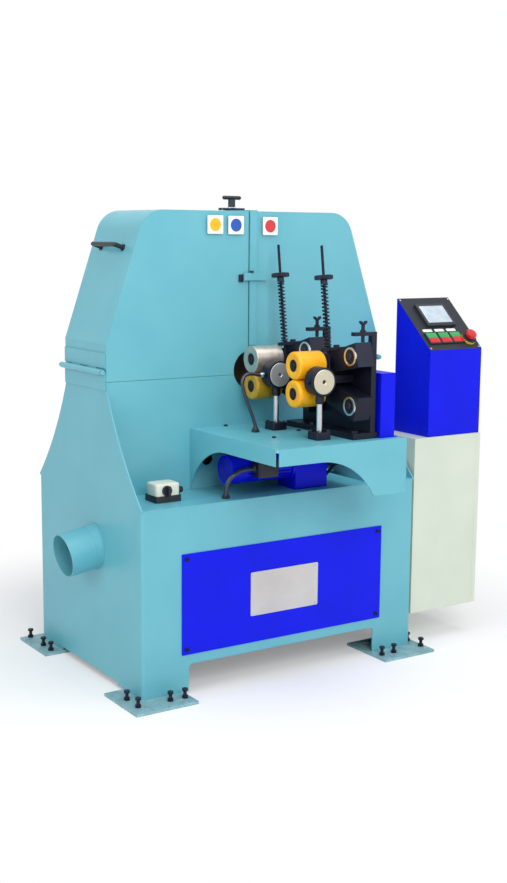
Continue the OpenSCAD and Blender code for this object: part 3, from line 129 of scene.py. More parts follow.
def make_stage():
    """White world, a floor disc that keeps the shadow near the machine, and the soft lamps."""
    world = bpy.data.worlds.new("soft_studio")
    bpy.context.scene.world = world
    tree = fresh_tree(world)
    lit = add(tree, "ShaderNodeBackground", {"Color": linear("#f4f8ff"), "Strength": WORLD_LIGHT})
    white = add(tree, "ShaderNodeBackground", {"Color": (1, 1, 1, 1), "Strength": 1.0})
    mix = add(tree, "ShaderNodeMixShader", {0: seen_directly(tree), 1: lit.outputs[0], 2: white.outputs[0]})
    add(tree, "ShaderNodeOutputWorld", {"Surface": mix.outputs[0]})

    floor_paint = bpy.data.materials.new("pale_floor_paint")
    tree = fresh_tree(floor_paint)
    place = add(tree, "ShaderNodeTexCoord")
    far = add(tree, "ShaderNodeVectorMath", {0: place.outputs["Object"]}, operation="LENGTH")
    fade = add(
        tree, "ShaderNodeMapRange",
        {"Value": far.outputs["Value"], "From Min": FLOOR_CLEAR, "From Max": FLOOR_WHITE},
        interpolation_type="SMOOTHSTEP",
    )
    keep = add(tree, "ShaderNodeMapRange", {"Value": fade.outputs["Result"], "To Min": 0.25, "To Max": 1.0})
    both = add(tree, "ShaderNodeMath", {0: keep.outputs["Result"], 1: seen_directly(tree)}, operation="MULTIPLY")
    matt = add(tree, "ShaderNodeBsdfDiffuse", {"Color": linear("#f6f6f6")})
    white = add(tree, "ShaderNodeEmission", {"Color": (1, 1, 1, 1), "Strength": 1.0})
    mix = add(tree, "ShaderNodeMixShader", {0: both.outputs[0], 1: matt.outputs[0], 2: white.outputs[0]})
    add(tree, "ShaderNodeOutputMaterial", {"Surface": mix.outputs[0]})
    turn = np.linspace(0, 2 * np.pi, 97)[:-1]
    rim = np.stack([9 * np.cos(turn), 9 * np.sin(turn), 0 * turn], 1)
    mesh = bpy.data.meshes.new("floor")
    mesh.from_pydata([[0, 0, 0], *rim.tolist()], [], [[0, i + 1, (i + 1) % 96 + 1] for i in range(96)])
    mesh.materials.append(floor_paint)
    floor = bpy.data.objects.new("floor", mesh)
    bpy.context.scene.collection.objects.link(floor)

    for name, place, size, watts in LIGHTS:
        data = bpy.data.lights.new(name, "AREA")
        data.size, data.energy = size, watts
        lamp = bpy.data.objects.new(name, data)
        aim = Vector((0.0, -0.15, 0.8)) - Vector(place)
        lamp.matrix_world = Matrix.Translation(place) @ aim.to_track_quat("-Z", "Y").to_matrix().to_4x4()
        bpy.context.scene.collection.objects.link(lamp)
    bpy.context.scene.view_settings.view_transform = "Standard"


# ---------------------------------------------------------------- materials


def surface_finish(
    name, light, dark, rough, grain, depth, metallic=0.0, edge=0.0, stretch=(1, 1, 1), patch=160.0, coat=0.0,
    ior=1.5, under=0.0,
):
    """One procedural finish. light and dark are the tones it drifts between in patches of patch mm, rough the
    least and most roughness, grain and depth the size and height in mm of the fine relief, stretch its shares
    along X, Y and Z, edge the radius in mm by which a sharp edge catches the light, and under the share of light
    that enters the skin."""
    made = bpy.data.materials.new(name)
    tree = fresh_tree(made)
    place = add(tree, "ShaderNodeTexCoord").outputs["Object"]
    drift = add(
        tree, "ShaderNodeTexNoise", {"Vector": place, "Scale": 1 / (patch * MM), "Detail": 3.0}
    ).outputs["Fac"]
    laid = add(tree, "ShaderNodeMapping", {"Vector": place, "Scale": stretch})
    fine = add(
        tree, "ShaderNodeTexNoise", {"Vector": laid.outputs[0], "Scale": 1 / (grain * MM), "Detail": 4.0}
    ).outputs["Fac"]
    tone = add(tree, "ShaderNodeMath", {0: drift, 1: fine, 2: 0.5}, operation="MULTIPLY_ADD")
    spread = add(tree, "ShaderNodeMapRange", {"Value": tone.outputs[0], "From Min": 0.55, "From Max": 0.95})
    colour = add(
        tree, "ShaderNodeMix", {0: spread.outputs[0], 6: linear(dark), 7: linear(light)}, data_type="RGBA"
    )
    gloss = add(
        tree, "ShaderNodeMapRange",
        {"Value": fine, "From Min": 0.3, "From Max": 0.7, "To Min": rough[0], "To Max": rough[1]}
    )
    relief = {"Height": fine, "Distance": depth * MM, "Strength": 1.0}
    if edge:
        relief["Normal"] = add(tree, "ShaderNodeBevel", {"Radius": edge * MM}, samples=4).outputs[0]
    bump = add(tree, "ShaderNodeBump", relief)
    skin = add(
        tree, "ShaderNodeBsdfPrincipled",
        {"Base Color": colour.outputs[2], "Roughness": gloss.outputs[0], "Metallic": metallic, "IOR": ior,
         "Coat Weight": coat, "Coat Roughness": 0.12, "Subsurface Weight": under, "Subsurface Scale": 0.01,
         "Normal": bump.outputs[0]},
    )
    add(tree, "ShaderNodeOutputMaterial", {"Surface": skin.outputs[0]})
    return made


# Polyester powder coat: an even gloss skin with a faint orange peel about 2 mm across
TEAL = surface_finish(
    "blue_green_powder_coat", "#69b3c0", "#5ba9b8", (0.34, 0.46), 2.2, 0.02, edge=2.0, coat=0.08
)
BLUE = surface_finish(
    "strong_blue_powder_coat", "#0014e6", "#000ccc", (0.42, 0.52), 2.0, 0.02, edge=1.6, ior=1.28
)
PEBBLE = surface_finish("pebble_grey_powder_coat", "#d2d9c9", "#c6cebd", (0.42, 0.55), 1.4, 0.03, edge=1.6)
# Steel blackened in a hot oxide bath, oiled: blue-black with a soft sheen
OXIDE = surface_finish(
    "black_oxide_steel", "#20253a", "#10131f", (0.32, 0.50), 1.5, 0.02, metallic=0.55, edge=0.8
)
PLATE_STEEL = surface_finish(
    "worn_plate_steel", "#98c2c8", "#6a9098", (0.45, 0.65), 6.0, 0.05, metallic=0.1, edge=0.8, patch=40
)
# Steel turned on a lathe and left bright
TURNED = surface_finish(
    "turned_steel", "#d8dade", "#b9bcc2", (0.16, 0.30), 0.8, 0.01, metallic=1.0, stretch=(1, 0.1, 1)
)
FACED = surface_finish("faced_steel_disc", "#dde0e6", "#b2b7c0", (0.28, 0.42), 1.2, 0.01, metallic=0.6)
WARM_TURNED = surface_finish("turned_bronze_steel", "#dcd6c0", "#c4bda6", (0.24, 0.36), 0.8, 0.01, metallic=0.9)
GROUND = surface_finish(
    "ground_steel_sleeve", "#dfd8ce", "#b4aca2", (0.30, 0.46), 2.4, 0.02, metallic=0.85, stretch=(1, 0.08, 0.08)
)
BRUSHED = surface_finish(
    "brushed_aluminium_plate", "#d6d4d2", "#bdb9b8", (0.28, 0.42), 0.6, 0.01, metallic=0.75, stretch=(0.06, 1, 1)
)
SPRING = surface_finish("oiled_spring_steel", "#3c4254", "#141722", (0.24, 0.38), 1.0, 0.01, metallic=0.85)
CAST = surface_finish("painted_cast_iron", "#4b5058", "#363a42", (0.5, 0.7), 3.0, 0.15, edge=1.2)
# Cast polyurethane: a slightly clear amber rubber, smooth from its mould
AMBER = surface_finish("amber_polyurethane", "#fabd0e", "#f0a206", (0.30, 0.42), 5.0, 0.02, under=0.25, patch=60)
DULL_AMBER = surface_finish(
    "used_polyurethane", "#c8a024", "#9e7a10", (0.36, 0.5), 4.0, 0.03, under=0.2, patch=50
)
# Plastics, all moulded: fine spark-eroded grain on the black ones, gloss on the buttons
BLACK = surface_finish("black_moulded_nylon", "#1b1f2c", "#11141d", (0.38, 0.5), 0.9, 0.02, edge=0.6)
CREAM = surface_finish("cream_moulded_abs", "#e0e1d2", "#d2d4c2", (0.32, 0.42), 1.2, 0.02, edge=0.8)
GREEN = surface_finish("green_lens_plastic", "#2fae5c", "#1f9148", (0.14, 0.2), 1.0, 0.01, under=0.2)
RED = surface_finish("red_moulded_plastic", "#d0202a", "#b8141e", (0.2, 0.28), 1.0, 0.01, edge=0.6)
YELLOW = surface_finish("yellow_moulded_plastic", "#f0bf10", "#dcaa08", (0.26, 0.34), 1.0, 0.01, edge=0.6)
WHITE = surface_finish("white_film_on_plate", "#f4f5f2", "#e8eae6", (0.3, 0.4), 1.5, 0.01)
SCREEN = surface_finish("lit_display_glass", "#c6d2dc", "#a9b7c4", (0.06, 0.12), 30.0, 0.0, patch=60, coat=0.6)
RUBBER = surface_finish("black_cable_rubber", "#232a40", "#141a2a", (0.26, 0.40), 1.2, 0.03, coat=0.35)
ABRASIVE = surface_finish("bonded_abrasive", "#6e5a3c", "#463824", (0.8, 0.95), 2.0, 0.6)
FLAG_AMBER = surface_finish("amber_printed_film", "#f2b90f", "#e6aa0a", (0.3, 0.4), 1.5, 0.01)
FLAG_BLUE = surface_finish("blue_printed_film", "#1c57b8", "#164aa0", (0.3, 0.4), 1.5, 0.01)
FLAG_RED = surface_finish("red_printed_film", "#d43a3e", "#c02c32", (0.3, 0.4), 1.5, 0.01)


def dress(finish, *names):
    """Gives CAD nodes a finish."""
    for name in names:
        mesh = NODES[name].data
        mesh.materials.clear()
        mesh.materials.append(finish)


# ---------------------------------------------------------------- surfaces


def rows_to_faces(rows, columns, start, wrap_rows):
    """Quads of a grid whose columns close round, and whose rows close too if wrap_rows."""
    r = np.arange(rows if wrap_rows else rows - 1)[:, None]
    c = np.arange(columns)[None, :]
    r2, c2 = (r + 1) % rows, (c + 1) % columns
    quads = np.stack(
        np.broadcast_arrays(r * columns + c, r * columns + c2, r2 * columns + c2, r2 * columns + c), -1
    )
    return quads.reshape(-1, 4) + start


def piece(name, grids, body, finish, replaces=(), sharp=32):
    """One piece from grids of points in mm, each (rows x columns x 3, closed along its rows or not)."""
    points, faces, start = [], [], 0
    for grid, wrap_rows in grids:
        points.append(grid.reshape(-1, 3))
        faces.append(rows_to_faces(grid.shape[0], grid.shape[1], start, wrap_rows))
        start += grid.shape[0] * grid.shape[1]
    mesh = bpy.data.meshes.new(name)
    mesh.from_pydata((np.concatenate(points) * MM).tolist(), [], np.concatenate(faces).tolist())
    work = bmesh.new()
    work.from_mesh(mesh)
    bmesh.ops.remove_doubles(work, verts=work.verts, dist=1e-6)
    bmesh.ops.dissolve_degenerate(work, edges=work.edges, dist=1e-6)
    bmesh.ops.recalc_face_normals(work, faces=work.faces)
    work.to_mesh(mesh)
    work.free()
    mesh.shade_smooth()
    mesh.set_sharp_from_angle(angle=math.radians(sharp))
    mesh.materials.append(finish)
    made = bpy.data.objects.new(name, mesh)
    bpy.context.scene.collection.objects.link(made)
    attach(made, body)
    if replaces:
        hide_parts(*replaces)
    return made


def axes_for(direction):
    """Two unit vectors square to a direction and to each other."""
    d = np.array(direction, float) / np.linalg.norm(direction)
    a = np.cross([0, 0, 1] if abs(d[2]) < 0.9 else [0, 1, 0], d)
    a /= np.linalg.norm(a)
    return a, np.cross(d, a), d


ROUND, HEX, KNURL = 0, 1, 2


def turned(profile, origin, direction, columns=48, closed=False, teeth=40, tooth=0.5):
    """Surface of revolution: profile rows are (distance along the axis, radius, kind). A HEX row's radius is half
    its width across flats, r / cos(angle from the nearest flat); a KNURL row's radius rises and falls teeth times
    a turn."""
    a, b, d = axes_for(direction)
    rows = np.array([(*p, ROUND)[:3] for p in profile], float)
    turn = np.arange(columns) * 2 * np.pi / columns
    flat = 1 / np.cos((turn % (np.pi / 3)) - np.pi / 6)
    wave = tooth * np.cos(teeth * turn)
    radius = rows[:, 1:2] * np.where(rows[:, 2:3] == HEX, flat, 1) + np.where(rows[:, 2:3] == KNURL, wave, 0)
    ring = np.cos(turn)[:, None] * a + np.sin(turn)[:, None] * b
    grid = np.array(origin, float) + rows[:, 0, None, None] * d + radius[..., None] * ring[None]
    return grid, closed


def rounded(corners, r, steps=6):
    """Outline of a convex polygon, anticlockwise, with round corners: the arcs' centres, and unit vectors out of
    them."""
    p = np.array(corners, float)
    before, after = p - np.roll(p, 1, 0), np.roll(p, -1, 0) - p
    n0 = np.stack([before[:, 1], -before[:, 0]], 1) / np.linalg.norm(before, axis=1)[:, None]
    n1 = np.stack([after[:, 1], -after[:, 0]], 1) / np.linalg.norm(after, axis=1)[:, None]
    centre = p - r * (n0 + n1) / (1 + (n0 * n1).sum(1))[:, None]
    a0 = np.arctan2(n0[:, 1], n0[:, 0])
    sweep = (np.arctan2(n1[:, 1], n1[:, 0]) - a0) % (2 * np.pi)
    angle = (a0[:, None] + sweep[:, None] * np.linspace(0, 1, steps)[None]).ravel()
    return np.repeat(centre, steps, 0), np.stack([np.cos(angle), np.sin(angle)], 1)


def slab(corners, thick, origin, across, up, r=4.0, edge=1.0, hollow=None, crown=0.0):
    """A plate or block: the rounded outline at inset 0 up to its round edge, then inset by a quarter circle, and
    closed over its middle, crown mm higher. hollow is a second outline that makes it an open frame."""
    a, b = np.array(across, float), np.array(up, float)
    n = np.cross(a, b)
    centre, out = rounded(corners, r)
    turn = np.linspace(0, np.pi / 2, 4)
    levels = [(0.0, 0.0)] + [(thick - edge + edge * math.sin(t), edge * (1 - math.cos(t))) for t in turn]
    flat = [(w, centre + (r - inset) * out) for w, inset in levels]
    if hollow:
        inner, inner_out = rounded(hollow, r)
        rim = inner + r * inner_out
        flat += [(thick, rim + 0.4 * edge * inner_out), (thick - 0.4 * edge, rim), (0.0, rim)]
    else:
        middle = np.broadcast_to(centre.mean(0), centre.shape)
        flat = [(0.0, middle), *flat, (thick + crown, middle)]
    grid = np.array([np.array(origin, float) + p[:, :1] * a + p[:, 1:] * b + w * n for w, p in flat])
    return grid, bool(hollow)


def box_corners(x0, y0, x1, y1):
    return [(x0, y0), (x1, y0), (x1, y1), (x0, y1)]


def smooth_path(points, steps=8):
    """Catmull-Rom curve through points: p(t) = half of the cubic that passes each point with its neighbours'
    slope."""
    p = np.array(points, float)
    p = np.concatenate([2 * p[:1] - p[1:2], p, 2 * p[-1:] - p[-2:-1]])
    t = np.linspace(0, 1, steps, endpoint=False)[:, None]
    p0, p1, p2, p3 = p[:-3, None], p[1:-2, None], p[2:-1, None], p[3:, None]
    curve = 0.5 * (
        2 * p1 + (p2 - p0) * t + (2 * p0 - 5 * p1 + 4 * p2 - p3) * t**2 + (3 * p1 - p0 - 3 * p2 + p3) * t**3
    )
    return np.concatenate([curve.reshape(-1, 3), p[-2:-1]])


def swept(path, radius, columns=16, ribs=0.0):
    """Tube along a path: each ring is carried from the last one by the turn between their directions, and ribs mm
    of swelling on every second ring makes a corrugated hose. Both ends close on the path."""
    d = np.gradient(path, axis=0)
    d /= np.linalg.norm(d, axis=1)[:, None]
    side = np.empty_like(path)
    side[0] = axes_for(d[0])[0]
    for i in range(1, len(path)):
        side[i] = side[i - 1] - d[i] * (side[i - 1] @ d[i])
        side[i] /= np.linalg.norm(side[i])
    other = np.cross(d, side)
    turn = np.arange(columns) * 2 * np.pi / columns
    r = np.array([radius - ribs * (i % 2) for i in range(len(path))])[:, None, None]
    grid = path[:, None] + r * (
        np.cos(turn)[None, :, None] * side[:, None] + np.sin(turn)[None, :, None] * other[:, None]
    )
    ends = [np.broadcast_to(path[i], (1, columns, 3)) for i in (0, -1)]
    return np.concatenate([ends[0], grid, ends[1]]), False


def coil(origin, direction, radius, wire, low, high, turns, columns=10, steps=28):
    """Helix: (R cos t, R sin t, h t) swept by the wire's circle, with its last turn each end lying almost
    flat."""
    a, b, d = axes_for(direction)
    t = np.linspace(0, turns, turns * steps + 1)
    lay = np.interp(t, [0, 1, turns - 1, turns], [0, 0.55 / turns, 1 - 0.55 / turns, 1])
    out = np.cos(2 * np.pi * t)[:, None] * a + np.sin(2 * np.pi * t)[:, None] * b
    path = np.array(origin, float) + radius * out + (low + (high - low) * lay)[:, None] * d
    turn = np.arange(columns) * 2 * np.pi / columns
    grid = path[:, None] + wire / 2 * (
        np.cos(turn)[None, :, None] * out[:, None] + np.sin(turn)[None, :, None] * d
    )
    ends = [np.broadcast_to(path[i], (1, columns, 3)) for i in (0, -1)]
    return np.concatenate([ends[0], grid, ends[1]]), False


def low(node):
    return np.array(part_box(node)[0]) / MM


def high(node):
    return np.array(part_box(node)[1]) / MM


def stations(node, axis, reach, keep=lambda p: p[:, 2] > -1):
    """Centres of a node's separate copies: its points seen along an axis, grouped by what lies within reach
    mm."""
    p = np.array([v.co for v in NODES[node].data.vertices], float) / MM
    p = p[keep(p)]
    found = []
    while len(p):
        near = np.linalg.norm(np.delete(p - p[0], axis, 1), axis=1) < reach
        found.append((p[near].min(0) + p[near].max(0)) / 2)
        p = p[~near]
    return found


def socket_screw(head, height, deep=0.55):
    """Profile of a cap screw's head with a hexagon socket, from its seat up to the socket's floor."""
    r, s = head / 2, head * 0.27
    return [(0, 0), (0, r), (height - 0.12 * r, r), (height, r * 0.88), (height, s * 1.2), (height, s, HEX),
            (height * (1 - deep), s, HEX), (height * (1 - deep), 0)]


def hex_bolt(flats, height):
    """Profile of a chamfered hexagon head from its seat up."""
    r = flats / 2
    return [(0, 0), (0, r, HEX), (height * 0.82, r, HEX), (height, r * 0.96), (height, 0)]


# ---------------------------------------------------------------- carried-over nodes

dress(TEAL, "end_walls", "side_plates", "ledge_plates", "neck_walls", "dust_spigot", "fixed_hinge_leaves",
      "feed_table", "left_cover", "right_cover", "cover_latch")
dress(BLUE, "access_panel", "drive_guard", "feed_gearmotor")
dress(PEBBLE, "cabinet_box", "cabinet_door")
dress(OXIDE, "feed_base", "arm_carriers", "stop_brackets", "front_upper_arm", "front_lower_arm", "rear_upper_arm",
      "rear_lower_arm", "front_wing_screw", "rear_wing_screw", "drive_chain")
dress(PLATE_STEEL, "foot_plates")
dress(TURNED, "motor_pulley", "feed_sprocket")
dress(BLACK, "pull_handle", "clamp_knob", "isolator_knob", "drive_belts")
dress(CAST, "head_housing", "main_motor")
dress(ABRASIVE, "brush_rotor")

X, Y, Z = np.eye(3)
FEED_Z = 1042.0

# ---------------------------------------------------------------- feet and covers

FOOT_T, TABLE_Z = 10, 852
JACK_R, JACK_AF, JACK_HEAD, JACK_PITCH = 6, 19, 7.8, 0.9
bolts = []
for p in stations("jack_screws", 2, 30):
    foot, head = (p[0], p[1], 0), high("jack_screws")[2] - JACK_HEAD
    shank = [(z, JACK_R - 0.7 * (i % 2)) for i, z in enumerate(np.arange(FOOT_T, head, JACK_PITCH))]
    nut = [(10, 0), (10, 9.2), (10.8, 9.5, HEX), (18.8, 9.5, HEX), (19.6, 9.0), (19.6, 5.4), (19.6, 0)]
    bolts += [turned([(FOOT_T, 0), *shank, (head, 0)], foot, Z), turned(nut, foot, Z)]
    bolts.append(turned(hex_bolt(JACK_AF, JACK_HEAD), (p[0], p[1], head), Z))
piece("jacking_bolts", bolts, "frame", OXIDE, ["jack_screws"])

panel_face = low("access_panel")[1]
PANEL_SCREW = socket_screw(14, 5)
on_front = stations("panel_screws", 1, 30, lambda p: p[:, 2] < 600)
on_table = stations("panel_screws", 2, 30, lambda p: p[:, 2] > 800)
screws = [turned(PANEL_SCREW, (p[0], panel_face, p[2]), -Y) for p in on_front]
screws += [turned(PANEL_SCREW, (p[0], p[1], TABLE_Z), Z) for p in on_table]
piece("panel_and_table_screws", screws, "frame", OXIDE, ["panel_screws"])

PLATE_X, PLATE_Z = (-147, 133), (229, 382)
plate = slab(box_corners(PLATE_X[0], PLATE_Z[0], PLATE_X[1], PLATE_Z[1]), 1.5, (0, panel_face, 0), X, Z, 5, 0.6)
piece("bare_rating_plate", [plate], "frame", BRUSHED)
piece("plate_rivets", [turned([(0, 4), (2.2, 3.4), (3, 0)], (x, panel_face - 1.2, z), -Y, 24)
                       for x in (
                           PLATE_X[0] + 9, PLATE_X[1] - 9
                       ) for z in (PLATE_Z[0] + 9, PLATE_Z[1] - 9)], "frame", TURNED)

hood_face = low("left_cover")[1]
SIGN_HALF, SPOT_R = 31, 22
for name, x, z, body, film in (
    ("left_sign", -150, 1544, "left_cover", FLAG_AMBER),
    ("middle_sign", -67, 1543, "left_cover", FLAG_BLUE),
    ("right_sign", 74, 1541, "right_cover", FLAG_RED),
):
    square = box_corners(x - SIGN_HALF, z - SIGN_HALF, x + SIGN_HALF, z + SIGN_HALF)
    piece(name + "_plate", [slab(square, 1.0, (0, hood_face, 0), X, Z, 3, 0.4)], body, WHITE)
    spot = turned([(0, SPOT_R), (0.3, SPOT_R), (0.3, 0)], (x, hood_face - 1.0, z), -Y)
    piece(name + "_spot", [spot], body, film)

piece("latch_screw", [turned(socket_screw(13.8, 8.4), (-1, -164, 1379.8), Z)], "right_cover", BLACK)
# The keeper block beside the latch bar is drawn in black oxide, but that dark is the latch bar's shadow on teal
# paint, so its black is painted shade.
keeper = slab(box_corners(-50.8, 1348.7, -35.4, 1375.3), 8.6, (0, -155.6, 0), X, Z, 2, 1)
piece("latch_keeper", [keeper], "left_cover", OXIDE)
catch = slab(box_corners(-5.4, 26.6, 91.4, 53.4), 8.4, (0, 0, 1596.8), X, Y, 3, 1.5)
piece("knob_catch_plate", [catch], "right_cover", OXIDE)
washer = turned([(0, 0), (0, 17), (2, 17), (2.6, 16.2), (2.6, 0)], (43, 40, 1605.3), Z)
piece("knob_stud_and_washer", [washer], "clamp_knob", TURNED)

# ---------------------------------------------------------------- feed rollers

SLEEVE_L, ROLLER_R, HUB_R, SHAFT_R = 108, 46, 20.2, 12
for name, sleeve_finish, slot_name in (
    ("front_upper", AMBER, "polyurethane"), ("front_lower", AMBER, "polyurethane"),
    ("rear_upper", GROUND, "chrome_roller"), ("rear_lower", DULL_AMBER, "polyurethane"),
):
    node = name + "_roller"
    mid = (low(node) + high(node)) / 2
    start = (low(node)[0], mid[1], mid[2])
    curve = 1.5 if sleeve_finish is GROUND else 8
    edge = [
        (
            curve - curve * math.sin(t), ROLLER_R - curve + curve * math.cos(t)
        ) for t in np.linspace(np.pi / 2, 0, 7)
    ]
    far_edge = [(SLEEVE_L - a, r) for a, r in reversed(edge)]
    sleeve = [(4, 20.6), (0.5, 20.8), (0, 21.8), *edge, *far_edge, (SLEEVE_L, 23), (SLEEVE_L, HUB_R)]
    piece(name + "_sleeve", [turned(sleeve, start, X, 96, True)], node, sleeve_finish, [node])
    face = [(3.4, 0), (3.4, 8.8), (2.2, 10), (2.2, 20.4), (4.4, 20.4)]
    hub = [*face, (4.4, HUB_R), (113.5, HUB_R), (113.5, SHAFT_R), (200, SHAFT_R), (201, 11), (201, 0)]
    piece(name + "_hub", [turned(hub, start, X, 64)], node, OXIDE)
    bolt = [(5, 0), (5, 8), (0.6, 8), (-0.3, 7), (-0.3, 4.8), (-0.3, 4.2, HEX), (2.6, 4.2, HEX), (2.6, 0)]
    piece(name + "_hub_screw", [turned(bolt, start, X)], node, BLACK)

# ---------------------------------------------------------------- arms, pivots and roller pressure

PIVOT_Y, PIVOT_RISE = (-626.0, -373.0), 81.0
ROD_X, ROD_TILT = 71.0, math.radians(7.8)
ROD_FOOT_Y = -532.85
rod_line = np.array([0, math.sin(ROD_TILT), math.cos(ROD_TILT)])
RING = [(-84, 31.3), (-79.6, 31.3), (-78.8, 30.6), (-78.8, 24.6), (-79.6, 24), (-84, 24)]
rings, pin_ends, pin_screws = [], [], []
for y in PIVOT_Y:
    for z in (FEED_Z - PIVOT_RISE, FEED_Z + PIVOT_RISE):
        rings.append(turned(RING, (0, y, z), -X, 72, True))
        pin_ends.append(turned([(-80.2, 0), (-80.2, 24.2), (-79.4, 24.2), (-79.4, 0)], (0, y, z), -X, 64))
        pin_screws.append(turned(socket_screw(22, 4), (79.5, y, z), -X))
piece("pivot_rings", rings, "frame", TURNED)
piece("pivot_pin_ends", pin_ends, "frame", OXIDE)
piece("pivot_pin_screws", pin_screws, "frame", BLACK)

rods = []
for i, name in enumerate(("front", "rear")):
    foot = np.array([ROD_X, ROD_FOOT_Y + (PIVOT_Y[i] - PIVOT_Y[0]), FEED_Z])
    thread = [(h, 5 - 0.55 * (k % 2)) for k, h in enumerate(np.arange(-13, 439, 0.75))]
    rods.append(turned([(-13, 0), *thread, (440, 3.6), (440, 0)], foot, rod_line, 24))
    wheel = [
        (314, 5.2), (314, 11.4), (314.6, 12), (328, 12), (328, 28), (329.6, 30.3, KNURL), (340.4, 30.3, KNURL),
        (342, 28), (342, 5.2)
    ]
    piece(
        name + "_pressure_nut", [turned(wheel, foot, rod_line, 240, True, 48, 0.7)], name + "_nut", OXIDE,
        [name + "_nut"]
    )
    spring = piece(name + "_pressure_spring", [coil(foot, rod_line, 10.5, 4.5, 106.9, 311.3, 18)], "frame",
                   SPRING, [name + "_spring"], 60)
    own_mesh(spring)
    washer = [(314.2, 5.2), (314.2, 13.2), (313, 13.2), (313, 5.2)]
    piece(
        name + "_spring_washer", [turned(washer, foot, rod_line, 48, True)], "frame", SPRING
    )
piece("tension_rod_threads", rods, "frame", OXIDE, ["tension_rods"])

# ---------------------------------------------------------------- work guides

GUIDE_Y = (-574.0, -321.0)
BASE_HALF, BASE_H = 28, 26
posts, bases, base_screws = [], [], []
for i, name in enumerate(("front", "rear")):
    node, y = name + "_guide", GUIDE_Y[i]
    middle = (0, y, FEED_Z)
    ring = [(-24, 41), (-24, 46), (-22.5, 47.5), (22.5, 47.5), (24, 46), (24, 41)]
    clamp = [(-73.5, 0), (-73.5, 12.8), (-72.3, 14), (-46, 14), (-40, 12), (-40, 0)]
    knob = [(45, 0), (45, 6), (48, 6), (48, 9), (52.8, 9), (53.5, 8.2), (53.5, 0)]
    piece(name + "_guide_holder",
          [turned(ring, middle, Y, 72, True), turned(clamp, middle, Z, 48), turned(knob, middle, -X, 48)], node,
          OXIDE, [node])
    disc = [(-25, 8), (-25, 39.6), (-23.6, 41), (23.6, 41), (25, 39.6), (25, 8), (23, 6), (-23, 6)]
    piece(
        name + "_guide_disc", [turned(disc, middle, Y, 96, True)], node, WARM_TURNED if i == 0 else FACED,
    )
    posts.append(turned([(859, 0), (859, 10), (981.5, 10), (982.5, 9), (982.5, 0)], (0, y, 0), Z))
    square = box_corners(-BASE_HALF, y - BASE_HALF, BASE_HALF, y + BASE_HALF)
    bases.append(slab(square, BASE_H, (0, 0, TABLE_Z), X, Y, 5, 1.5))
    corners = [(x, y + v, TABLE_Z + BASE_H) for x in (-20, 20) for v in (-20, 20)]
    base_screws += [turned(socket_screw(11, 5), corner, Z) for corner in corners]
piece("guide_posts", posts, "frame", TURNED, ["guide_stands"])
piece("guide_base_blocks", bases, "frame", OXIDE)
piece("guide_base_screws", base_screws, "frame", BLACK)

# ---------------------------------------------------------------- leads

LEAD = [(-96, -340, 852), (-96, -340, 866), (-98, -338, 882), (-106, -335, 908), (-118, -332, 940),
        (-129, -329, 970), (-137, -326, 998), (-139, -323, 1020), (-134, -321, 1036), (-121, -321, 1046),
        (-102, -321, 1048), (-82, -321, 1045), (-66, -321, 1042), (-54, -321, 1042)]
CABLE = [(-220, -352, 638), (-220, -352, 662), (-217, -354, 684), (-208, -358, 703), (-192, -362, 718),
         (-172, -364, 728), (-150, -364, 731), (-128, -362, 731), (-108, -362, 731)]
gland = [(0, 0), (0, 12), (1, 13, HEX), (9, 13, HEX), (10, 12), (11, 10), (17, 8.6), (17, 0)]


lead_line, cable_line = smooth_path(LEAD), smooth_path(CABLE)
lead = piece("guide_air_lead", [swept(lead_line, 6)], "frame", RUBBER, ["air_lead"], 60)
lead.parent = None
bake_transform(lead)
piece("air_lead_gland", [turned(gland, LEAD[0], Z)], "frame", BLACK)
piece(
    "air_lead_fitting", [turned([(0, 0), (0, 9), (7, 9), (8, 8), (14, 7.4), (14, 0)], LEAD[-1], -X)],
    "rear_guide", TURNED
)
cable = piece("feed_motor_cable", [swept(cable_line, 8)], "frame", RUBBER, ["motor_cable"], 60)
piece(
    "motor_cable_glands", [turned(gland, CABLE[0], Z), turned(gland, CABLE[-1], -X)], "frame", BLACK,
)

# ---------------------------------------------------------------- feed motor

MOTOR = (-190, -300, 724)
# The fan cowl's slots are drawn as black rings standing 1 mm proud of its end, not as openings: their black is
# painted shade for the inside of the slots.
slot_shade_rings = [
    turned(
        [(0, r - 1.6), (1.0, r - 1.2), (1.0, r + 1.2), (0, r + 1.6)], MOTOR, -X, 48, True
    ) for r in (12, 20, 28, 36)
]
piece("fan_cowl_slot_shade_rings", slot_shade_rings, "frame", BLACK)
terminal = slab(box_corners(-108.6, 698.6, -27.4, 761.6), 41, (0, -341.5, 0), X, Z, 5, 2)
lid = slab(box_corners(-104, 703, -32, 757), 2.6, (0, -382.5, 0), X, Z, 4, 1)
piece("motor_terminal_box", [terminal, lid], "frame", BLACK)

# ---------------------------------------------------------------- isolator

iso0, iso1 = low("isolator_box"), high("isolator_box")
iso_right = iso0[0] + 96
base = slab(box_corners(iso0[0], iso0[1], iso_right, iso1[1]), 22, (0, 0, iso0[2]), X, Y, 6, 1.5)
gland_side = turned(
    [(0, 0), (0, 13), (1, 13.5, HEX), (12, 13.5, HEX), (13, 12), (24, 10), (24, 0)],
    (iso_right - 1, iso0[1] + 40, iso0[2] + 31), X
)
piece("isolator_base", [base, gland_side], "frame", BLACK, ["isolator_box"])
cover = slab(
    box_corners(iso0[0] + 3, iso0[1] + 3, iso_right - 3, iso1[1] - 3), 40, (0, 0, iso0[2] + 22), X, Y, 12, 6
)
piece("isolator_cover", [cover], "frame", CREAM)

# ---------------------------------------------------------------- control cabinet

door = high("cabinet_door")
lock = [(0, 0), (0, 13.4), (5.1, 13.4), (5.8, 12.6), (5.8, 8), (4.4, 8), (4.4, 0)]
piece(
    "door_lock", [turned(lock, (door[0] - 6, low("cabinet_door")[1] + 28, 450), X)], "cabinet_door", BLACK,
)

